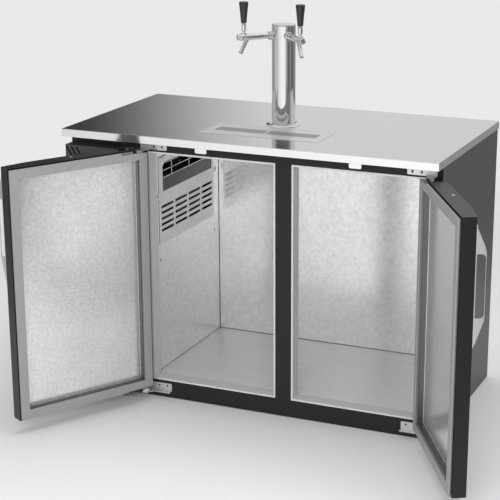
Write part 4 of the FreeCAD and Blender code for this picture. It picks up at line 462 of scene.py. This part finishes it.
# The left wall is painted with a line of shadow in the gap round the evaporator's cover, and the housing
# behind the cover is painted near black as shade.
cover_low, cover_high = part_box("evaporator_cover")
cover_flange = 0.020
cover_front = cover_low[1] + cover_flange
cover_back = cover_high[1] - cover_flange
half_depth = (cover_back - cover_front) / 2
half_height = 0.1475
gap_middle = 0.0015
gap_core = 0.0010
gap_edge = 0.0024
side_x, side_y, side_z = side_zinc.axes(side_zinc.place)
on_left = side_x.rise(corner_left + 0.01, corner_left + 0.02, 1.0, 0.0)
along_cover = side_y.near((cover_front + cover_back) / 2, half_depth, half_depth + 0.002)
up_cover = side_z.near((cover_low[2] + cover_high[2]) / 2, half_height, half_height + 0.002)
# Painted shadow lines along the cover's front and top edges.
front_gap_shadow = side_y.near(cover_front - gap_middle, gap_core, gap_edge) * up_cover
top_gap_shadow = side_z.near(cover_high[2] + gap_middle, gap_core, gap_edge) * along_cover
side_zinc.shade(front_gap_shadow.most(top_gap_shadow) * on_left, 0.10)
# Painted shade: the lining behind the cover's face is turned near black.
side_zinc.shade(side_x.rise(corner_left - 0.004, corner_left - 0.003, 1.0, 0.0), 0.04)
dress(back_zinc, "liner_back_wall")
dress(side_zinc, "liner_left_wall", "liner_right_wall", "liner_ceiling")
door_foam, door_bubbles = cast_foam("cast_foam")
door_foam.bump(door_bubbles, 0.0003)
dress(door_foam, "left_door_foam", "right_door_foam")
# The foam's skin behind the lining is painted near black as painted shade where a keyhole or a clip hole
# shows it.
skin_middle = 0.001
skin_core = 0.0015
skin_edge = 0.0020
wall_foam = cast_foam("wall_foam")[0]
left_skin_shade = wall_foam.along(0).near(corner_left - skin_middle, skin_core, skin_edge)
back_skin_shade = wall_foam.along(1).near(corner_back + skin_middle, skin_core, skin_edge)
wall_foam.shade(left_skin_shade.most(back_skin_shade), 0.008)
dress(wall_foam, "foam_insulation")


def brushed_steel(name, level, roughness, strokes, depth):
    """Stainless steel with fine strokes, which are long where the stretch is small."""
    steel = Finish(name, metallic=1.0)
    fine = steel.noise(1.0, detail=4.0, place=steel.stretched(strokes))
    broad = steel.noise(1.6, detail=1.0)
    steel.colour(fine * 0.6 + broad * 0.4, grey(level * 0.90), grey(level * 1.07))
    steel.set("Roughness", fine.rise(0.2, 0.8, roughness - 0.04, roughness + 0.05))
    steel.bump(fine, depth)
    return steel


floor_strokes = (6.0, 900.0, 900.0)
floor_steel = brushed_steel("floor_steel", level=0.84, roughness=0.30, strokes=floor_strokes, depth=3e-6)
floor_steel.set("Metallic", 0.6)
dress(floor_steel, "liner_floor")

# Breaker strips
# White plastic trims that snap between the face frame and the lining all round each opening.
trim_white = moulded("trim_white", level=0.64, roughness=0.38)
rounded("breaker_strips", trim_white, "cabinet", "white_trim", edge=0.0005)

# Face frame and side panels
# Folded steel coated with black paint. Rails and posts are welded to a frame that the doors close on.
# The side panels and the grille get a lighter copy of the black paint, as painted light, and the face frame
# a darker copy, as painted shade.
shaded_frame_paint = painted_steel("shaded_frame_paint", level=0.014, roughness=0.42)
lit_shell_paint = painted_steel("lit_shell_paint", level=0.066, roughness=0.42)
for node in ("front_top_rail", "front_base_rail", "front_posts"):
    rounded(node, shaded_frame_paint, "cabinet", "black_steel", edge=0.0005)
for node in ("outer_side_left", "outer_side_right"):
    rounded(node, lit_shell_paint, "cabinet", "black_steel", edge=0.0006)

# Front grille
# A slotted cover of black steel in front of the machine compartment, held by screws.
rounded("front_grille", lit_shell_paint, "cabinet", "black_steel", edge=0.0004)

# Counter
# One sheet of stainless steel folded down all round, with welded tabs that the doors' locks catch in.
# Its folds are rounded, its top is brushed along its length, and its folded edge is painted lighter as a
# painted highlight.
top_strokes = (5.0, 1400.0, 1400.0)
counter_steel = brushed_steel("counter_steel", level=0.74, roughness=0.09, strokes=top_strokes, depth=4e-6)
fold_start = 0.9000
edge_highlight = counter_steel.along(2).rise(fold_start - 0.0010, fold_start, 1.0, 0.0)
counter_steel.shade(edge_highlight, 0.92)
rounded("stainless_top", counter_steel, "cabinet", "stainless", edge=0.0006)


# Drip tray and grille
# A pressed tray rests in the counter by its rim. A slotted plate with turned-down ends stands in it.
def tray_metal(name):
    """Satin stainless steel with strokes along the counter."""
    steel = brushed_steel(name, level=0.76, roughness=0.36, strokes=(8.0, 1200.0, 1200.0), depth=6e-6)
    steel.set("Metallic", 0.75)
    return steel


grille_steel = tray_metal("tray_steel")
well_steel = tray_metal("well_steel")
# The tray is painted dark inside, below its rim, as painted shade.
well_start = 0.8995
well_shade = well_steel.along(2).rise(well_start - 0.0020, well_start, 1.0, 0.0)
well_steel.shade(well_shade, 0.04)
rounded("drip_tray", well_steel, "cabinet", "tray_steel", edge=0.0005)
rounded("drip_grille", grille_steel, "drip_grille", "tray_steel", edge=0.0003)

# Draft tower
# A chromed tube stands in a domed flange with four screws and is closed by a lift-off cap.
# The flange and the cap are turned from one profile each.
chrome = plated("bright_chrome", level=0.78, roughness=0.035)
upright = Vector((0.0, 0.0, 1.0))
sideways = Vector((1.0, 0.0, 0.0))
tower_foot = Vector((0.0, 0.005, 0.902))


def turned(name, profile, centre, axis=upright, side=sideways, steps=96):
    """Draw a profile of places along the axis and radii from one point, then spin it round."""
    bpy.ops.object.select_all(action="DESELECT")
    bpy.ops.mesh.primitive_plane_add(size=0.001, location=(0.0, 0.0, 0.0))
    piece = bpy.context.object
    piece.name = name
    points = [centre + axis * along + side * radius for along, radius in profile]
    bpy.ops.object.mode_set(mode="EDIT")
    bpy.ops.mesh.select_mode(type="VERT")
    bpy.ops.mesh.select_all(action="SELECT")
    bpy.ops.mesh.merge(type="CENTER")
    bpy.ops.transform.translate(value=points[0])
    for before, after in zip(points, points[1:]):
        bpy.ops.mesh.extrude_region_move(TRANSFORM_OT_translate={"value": after - before})
    bpy.ops.mesh.select_all(action="SELECT")
    bpy.ops.mesh.spin(steps=steps, angle=2.0 * math.pi, center=centre, axis=axis)
    bpy.ops.mesh.select_all(action="SELECT")
    bpy.ops.mesh.remove_doubles(threshold=0.000002)
    bpy.ops.mesh.normals_make_consistent(inside=False)
    bpy.ops.object.mode_set(mode="OBJECT")
    bpy.ops.object.shade_smooth_by_angle(angle=math.radians(32.0))
    return piece


def join(pieces):
    """Join pieces into the first one."""
    bpy.ops.object.select_all(action="DESELECT")
    for piece in pieces:
        piece.select_set(True)
    bpy.context.view_layer.objects.active = pieces[0]
    bpy.ops.object.join()
    return pieces[0]


flange_profile = (
    (0.0000, 0.0384),
    (0.0000, 0.0570),
    (0.0012, 0.0570),
    (0.0021, 0.0566),
    (0.0031, 0.0556),
    (0.0042, 0.0536),
    (0.0051, 0.0512),
    (0.0057, 0.0485),
    (0.0060, 0.0455),
    (0.0060, 0.0400),
    (0.0056, 0.0389),
    (0.0050, 0.0384),
    (0.0000, 0.0384),
)
flange = turned("domed_flange", flange_profile, tower_foot)
settle(flange, chrome, "cabinet", "chrome", "tower_flange")
rounded("tower_column", chrome, "cabinet", "chrome", edge=0.0004)
cap_profile = (
    (0.3120, 0.0000),
    (0.3120, 0.0358),
    (0.3241, 0.0358),
    (0.3241, 0.0377),
    (0.3246, 0.0381),
    (0.3266, 0.0381),
    (0.3274, 0.0378),
    (0.3279, 0.0371),
    (0.3280, 0.0362),
    (0.3280, 0.0000),
)
cap = turned("spun_cap", cap_profile, tower_foot)
settle(cap, chrome, "tower_cap", "chrome", "tower_cap")

# Taps
# Each chromed faucet is cast and turned, and a notched nut holds it on the shank through the column.
# A ball lever under the black handle works a brass valve shaft, and beer runs out of the slanted spout.
brass = Finish("drawn_brass", metallic=1.0, roughness=0.3)
brass.colour(brass.noise(90.0, detail=3.0), (0.62, 0.42, 0.17, 1.0), (0.76, 0.55, 0.25, 1.0))
dress(brass, "valve_shaft_left", "valve_shaft_right")
handle_black = moulded("handle_black", level=0.022, roughness=0.28)
rounded("tap_shanks", chrome, "cabinet", "chrome", edge=0.0005)
tap_axis = Vector((0.0, 0.005, 1.195))
spout_root = 0.123
spout_end = 0.150
spout_drop = 0.052
lever_reach = 0.137
ball_height = 0.008
handle_foot = 0.0455
nut_steps = 40
nut_radius = 0.0138
nut_profile = (
    (0.0412, 0.0108),
    (0.0412, 0.0132),
    (0.0419, 0.0140),
    (0.0506, 0.0140),
    (0.0518, 0.0130),
    (0.0520, 0.0088),
    (0.0470, 0.0088),
    (0.0470, 0.0108),
    (0.0412, 0.0108),
)
barrel_profile = (
    (0.0476, 0.0000),
    (0.0476, 0.0084),
    (0.0532, 0.0084),
    (0.0538, 0.0092),
    (0.0572, 0.0094),
    (0.0580, 0.0086),
    (0.0660, 0.0090),
    (0.1168, 0.0114),
    (0.1186, 0.0114),
    (0.1192, 0.0109),
    (0.1204, 0.0109),
    (0.1210, 0.0115),
    (0.1470, 0.0115),
    (0.1484, 0.0112),
    (0.1556, 0.0096),
    (0.1584, 0.0095),
    (0.1594, 0.0090),
    (0.1600, 0.0078),
    (0.1600, 0.0058),
    (0.1592, 0.0050),
    (0.1592, 0.0000),
)
bonnet_profile = (
    (0.0000, 0.0000),
    (0.0000, 0.0098),
    (0.0095, 0.0098),
    (0.0101, 0.0100),
    (0.0118, 0.0100),
    (0.0127, 0.0096),
    (0.0130, 0.0088),
    (0.0130, 0.0072),
    (0.0124, 0.0068),
    (0.0040, 0.0068),
    (0.0040, 0.0000),
)
spout_profile = (
    (0.0040, 0.0000),
    (0.0060, 0.0078),
    (0.0140, 0.0078),
    (0.0190, 0.0071),
    (0.0530, 0.0066),
    (0.0540, 0.0069),
    (0.0572, 0.0070),
    (0.0584, 0.0066),
    (0.0586, 0.0058),
    (0.0582, 0.0048),
    (0.0400, 0.0048),
    (0.0400, 0.0000),
)
lever_profile = (
    (-0.0110, 0.0000),
    (-0.0110, 0.0022),
    (-0.0107, 0.0025),
    (-0.0059, 0.0025),
    (-0.0045, 0.0045),
    (-0.0020, 0.0061),
    (0.0010, 0.0063),
    (0.0035, 0.0053),
    (0.0053, 0.0036),
    (0.0095, 0.0035),
    (0.0110, 0.0046),
    (0.0122, 0.0068),
    (0.0130, 0.0074),
    (0.0138, 0.0075),
    (0.0290, 0.0075),
    (0.0294, 0.0070),
    (0.0306, 0.0070),
    (0.0310, 0.0075),
    (0.0368, 0.0075),
    (0.0375, 0.0071),
    (0.0375, 0.0000),
)
handle_profile = (
    (0.0000, 0.0000),
    (0.0000, 0.0080),
    (0.0005, 0.0087),
    (0.0015, 0.0091),
    (0.0300, 0.0115),
    (0.0600, 0.0148),
    (0.0625, 0.0150),
    (0.0645, 0.0148),
    (0.0658, 0.0140),
    (0.0665, 0.0122),
    (0.0663, 0.0090),
    (0.0658, 0.0060),
    (0.0656, 0.0000),
)
for side, sense in (("left", -1.0), ("right", 1.0)):
    out = Vector((sense * math.sqrt(0.5), -math.sqrt(0.5), 0.0))
    across = upright.cross(out)
    over_lever = tap_axis + out * lever_reach

    # Two of every five faces round the nut's rim are pressed in as notches.
    nut = turned(side + "_notched_nut", nut_profile, tap_axis, out, upright, nut_steps)
    bpy.ops.object.mode_set(mode="EDIT")
    bpy.ops.mesh.select_mode(type="FACE")
    bpy.ops.mesh.select_all(action="DESELECT")
    bpy.ops.object.mode_set(mode="OBJECT")
    for face in nut.data.polygons:
        arm = face.center - tap_axis
        angle = math.atan2(arm.dot(across), arm.z)
        step = math.floor(angle * nut_steps / (2.0 * math.pi))
        on_rim = (arm - out * arm.dot(out)).length > nut_radius
        face.select = on_rim and step % 5 in (0, 1)
    bpy.ops.object.mode_set(mode="EDIT")
    bpy.ops.mesh.inset(thickness=0.0003, depth=-0.0012)
    bpy.ops.object.mode_set(mode="OBJECT")
    settle(nut, chrome, "cabinet", "chrome", "coupling_nuts")

    spout_foot = tap_axis + out * spout_root
    spout_along = (out * (spout_end - spout_root) - upright * spout_drop).normalized()
    body_parts = [
        turned(side + "_faucet", barrel_profile, tap_axis, out, upright, 48),
        turned(side + "_bonnet", bonnet_profile, over_lever, upright, out, 48),
        turned(side + "_spout", spout_profile, spout_foot, spout_along, across, 40),
    ]
    settle(join(body_parts), chrome, "cabinet", "chrome", "faucet_body_" + side)

    ball = over_lever + upright * ball_height
    lever = turned(side + "_ball_lever", lever_profile, ball, upright, out, 40)
    settle(lever, chrome, side + "_tap", "chrome", "tap_lever_" + side)
    foot = over_lever + upright * handle_foot
    handle = turned(side + "_tap_handle", handle_profile, foot, upright, out, 48)
    settle(handle, handle_black, side + "_tap", "black_plastic", "tap_handle_" + side)

line_vinyl = moulded("line_vinyl", level=0.70, roughness=0.25)
dress(line_vinyl, "beer_lines")

# Evaporator
# A galvanised cover with a fan opening and rows of slots hides the coil. Round wires guard the fan.
cover_zinc = galvanised("cover_zinc", dark=0.74, light=0.80, roughness=0.36, grain=160.0)
rounded("evaporator_cover", cover_zinc, "cabinet", "galvanised", edge=0.0003)
wire_plate = plated("wire_plate", level=0.80, roughness=0.20)
# The guard's skirt below its wires is painted near black as painted shade, and is not metallic.
skirt_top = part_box("fan_guard")[0][2] + 0.0480
skirt_shade = wire_plate.along(2).rise(skirt_top - 0.0008, skirt_top, 1.0, 0.0)
wire_plate.shade(skirt_shade, 0.018)
wire_plate.set("Metallic", 1.0 - skirt_shade)
dress(wire_plate, "fan_guard")
rounded("evaporator_motor", machine_paint, "cabinet", "motor_black", edge=0.0008)


# Doors
# Each door is a black folded shell filled with foam, closed inside by a recessed galvanised pan.
# A grey magnetic gasket runs round the pan, and nylon bushes at the heel turn on the hinge pins.
def outward_depth(finish, outward, pin):
    """Measure how far a place of the open door lies outward from the line of its hinge pins."""
    pin_depth = pin[0] * outward[0] + pin[1] * outward[1]
    return finish.along(0) * outward[0] + finish.along(1) * outward[1] - pin_depth


# The doors get the darkest copy of the black paint, as painted shade.
shaded_door_paint = painted_steel("shaded_door_paint", level=0.006, roughness=0.36)
shaded_door_paint.set("Specular IOR Level", 0.42)
# Depths run square to a door that is open at 120 degrees. The walls of the pan's recess and the
# sides of the gasket are painted darker than their faces, as painted shade.
hinge_line = -0.3102
recess_floor = -0.0042
seal_back = -0.0298
for side, sense, pin_x in (("left", -1.0, -0.3660), ("right", 1.0, 0.6018)):
    body = side + "_door"
    pin = (pin_x, hinge_line)
    outward = (sense * math.sqrt(0.75), 0.5)
    rounded(side + "_door_shell", shaded_door_paint, body, "black_steel", edge=0.0005)

    pan_name = side + "_pan_zinc"
    pan_zinc = galvanised(pan_name, dark=0.74, light=0.92, roughness=0.22, metallic=0.74, lumps=110.0)
    # Painted shade on the walls of the pan's recess.
    wall_shade = outward_depth(pan_zinc, outward, pin).rise(recess_floor - 0.0010, recess_floor, 1.0, 0.0)
    pan_zinc.shade(wall_shade, 0.15)
    rounded(side + "_door_liner", pan_zinc, body, "galvanised", edge=0.0004)

    gasket_grey = moulded(side + "_gasket_grey", level=0.31, roughness=0.50, grain=900.0)
    # Painted shade on the sides of the gasket, behind its sealing face.
    gasket_side_shade = outward_depth(gasket_grey, outward, pin).rise(seal_back, seal_back + 0.0018)
    gasket_grey.shade(gasket_side_shade, 0.15)
    rounded(side + "_door_gasket", gasket_grey, body, "gasket", edge=0.0008, segments=3)
bush_nylon = moulded("bush_nylon", level=0.60, roughness=0.45)
dress(bush_nylon, "left_door_bushes", "right_door_bushes")

# Door handles
# A stainless plate on the outside of each door's free end stands out past it, with a window for the fingers.
plate_strokes = (900.0, 900.0, 8.0)
handle_steel = brushed_steel("handle_steel", level=0.84, roughness=0.30, strokes=plate_strokes, depth=2e-6)
for side in ("left", "right"):
    rounded(side + "_door_handle", handle_steel, side + "_door", "handle_steel", edge=0.0008, segments=3)

# Locks
# A chromed key cylinder in each door turns a small steel bolt up behind a tab of the counter.
zinc_plate = plated("zinc_plate", level=0.78, roughness=0.30)
zinc_plate.set("Metallic", 0.8)
for side in ("left", "right"):
    rounded(side + "_lock_cylinder", chrome, side + "_lock", "chrome", edge=0.0003)
    rounded(side + "_lock_bolt", zinc_plate, side + "_bolt", "zinc", edge=0.0006)

# Hinge brackets
# Stamped and plated steel plates with slotted holes, screwed above and below each door, with riveted pins.
rounded("hinge_brackets", zinc_plate, "cabinet", "zinc", edge=0.0004)


# Screws
# Plated pan head screws with a cross recess, one for each shank of the assembly.
def shanks_of(node):
    """Part a node's mesh into its separate solids and give each one's points."""
    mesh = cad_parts[node].data
    owner = {}
    for vertex in mesh.vertices:
        owner[vertex.index] = tuple(round(part, 6) for part in vertex.co)
    group = {point: point for point in owner.values()}

    def root(point):
        while group[point] != point:
            group[point] = group[group[point]]
            point = group[point]
        return point

    for edge in mesh.edges:
        first, second = (root(owner[index]) for index in edge.vertices)
        group[first] = second
    solids = {}
    for point in group:
        solids.setdefault(root(point), []).append(Vector(point))
    return list(solids.values())


def odd_axis(spans):
    """Find the axis whose span differs most from the other two."""
    differences = [sum(abs(span - other) for other in spans) for span in spans]
    return differences.index(max(differences))


head_profile = (
    (-0.0004, 0.0000),
    (-0.0004, 1.0000),
    (0.3000, 1.0000),
    (0.6200, 0.9200),
    (0.8600, 0.7400),
    (0.9700, 0.4800),
    (1.0000, 0.2000),
    (1.0000, 0.0000),
)


def cross_head(name, seat, axis, radius, height):
    """Make a pan head with a cross cut in it, turned a little so that no cut runs along an edge."""
    side = axis.orthogonal().normalized()
    profile = [(along * height, reach * radius) for along, reach in head_profile]
    head = turned(name, profile, seat, axis, side, 24)
    lean = 0.13
    bars = []
    for turn, deep in ((lean, 1.00), (lean + math.pi / 2, 0.94)):
        along = Matrix.Rotation(turn, 3, axis) @ side
        bpy.ops.object.select_all(action="DESELECT")
        bpy.ops.mesh.primitive_cube_add(size=1.0, location=(0.0, 0.0, 0.0))
        bar = bpy.context.object
        bar_length = along * radius * 1.1
        bar_width = axis.cross(along) * radius * 0.24
        basis = Matrix((bar_length, bar_width, axis * height * deep)).transposed()
        bar.data.transform(Matrix.Translation(seat + axis * height) @ basis.to_4x4())
        bars.append(bar)
    for bar in bars:
        bpy.context.view_layer.objects.active = head
        bpy.ops.object.modifier_add(type="BOOLEAN")
        recess = head.modifiers[-1]
        recess.operation = "DIFFERENCE"
        recess.solver = "EXACT"
        recess.object = bar
        bpy.ops.object.modifier_apply(modifier=recess.name)
        bpy.data.objects.remove(bar)
    return head


screw_parts = []
for solid in shanks_of("cabinet_screws"):
    lows = Vector([min(point[axis] for point in solid) for axis in range(3)])
    highs = Vector([max(point[axis] for point in solid) for axis in range(3)])
    middle = (lows + highs) / 2
    long_axis = odd_axis(highs - lows)
    # The head is at the end with the larger radius.
    ends = {}
    for sign, place in ((-1.0, lows[long_axis]), (1.0, highs[long_axis])):
        near = [point for point in solid if abs(point[long_axis] - place) < 0.00002]
        flat = [point - middle for point in near]
        for arm in flat:
            arm[long_axis] = 0.0
        ends[sign] = max(arm.length for arm in flat)
    sign = 1.0 if ends[1.0] > ends[-1.0] else -1.0
    tip = highs if sign > 0 else lows
    axis = Vector((0.0, 0.0, 0.0))
    axis[long_axis] = sign
    places = sorted({round(point[long_axis], 6) for point in solid})
    step = places[-2] if sign > 0 else places[1]
    height = abs(tip[long_axis] - step)
    seat = middle.copy()
    seat[long_axis] = step
    shank_radius = ends[-sign]
    shank_reach = abs(step - (lows if sign > 0 else highs)[long_axis])
    shank_profile = (
        (0.0, 0.0),
        (0.0, shank_radius),
        (-shank_reach + 0.0004, shank_radius),
        (-shank_reach, shank_radius * 0.7),
        (-shank_reach, 0.0),
    )
    head = cross_head("screw_head", seat, axis, ends[sign], height)
    shank = turned("screw_shank", shank_profile, seat, axis, axis.orthogonal().normalized(), 16)
    screw_parts += [head, shank]
screws = join(screw_parts)
screws.name = "pan_head_screws"
bpy.ops.object.shade_smooth_by_angle(angle=math.radians(35.0))
settle(screws, zinc_plate, "cabinet", "zinc", "cabinet_screws")
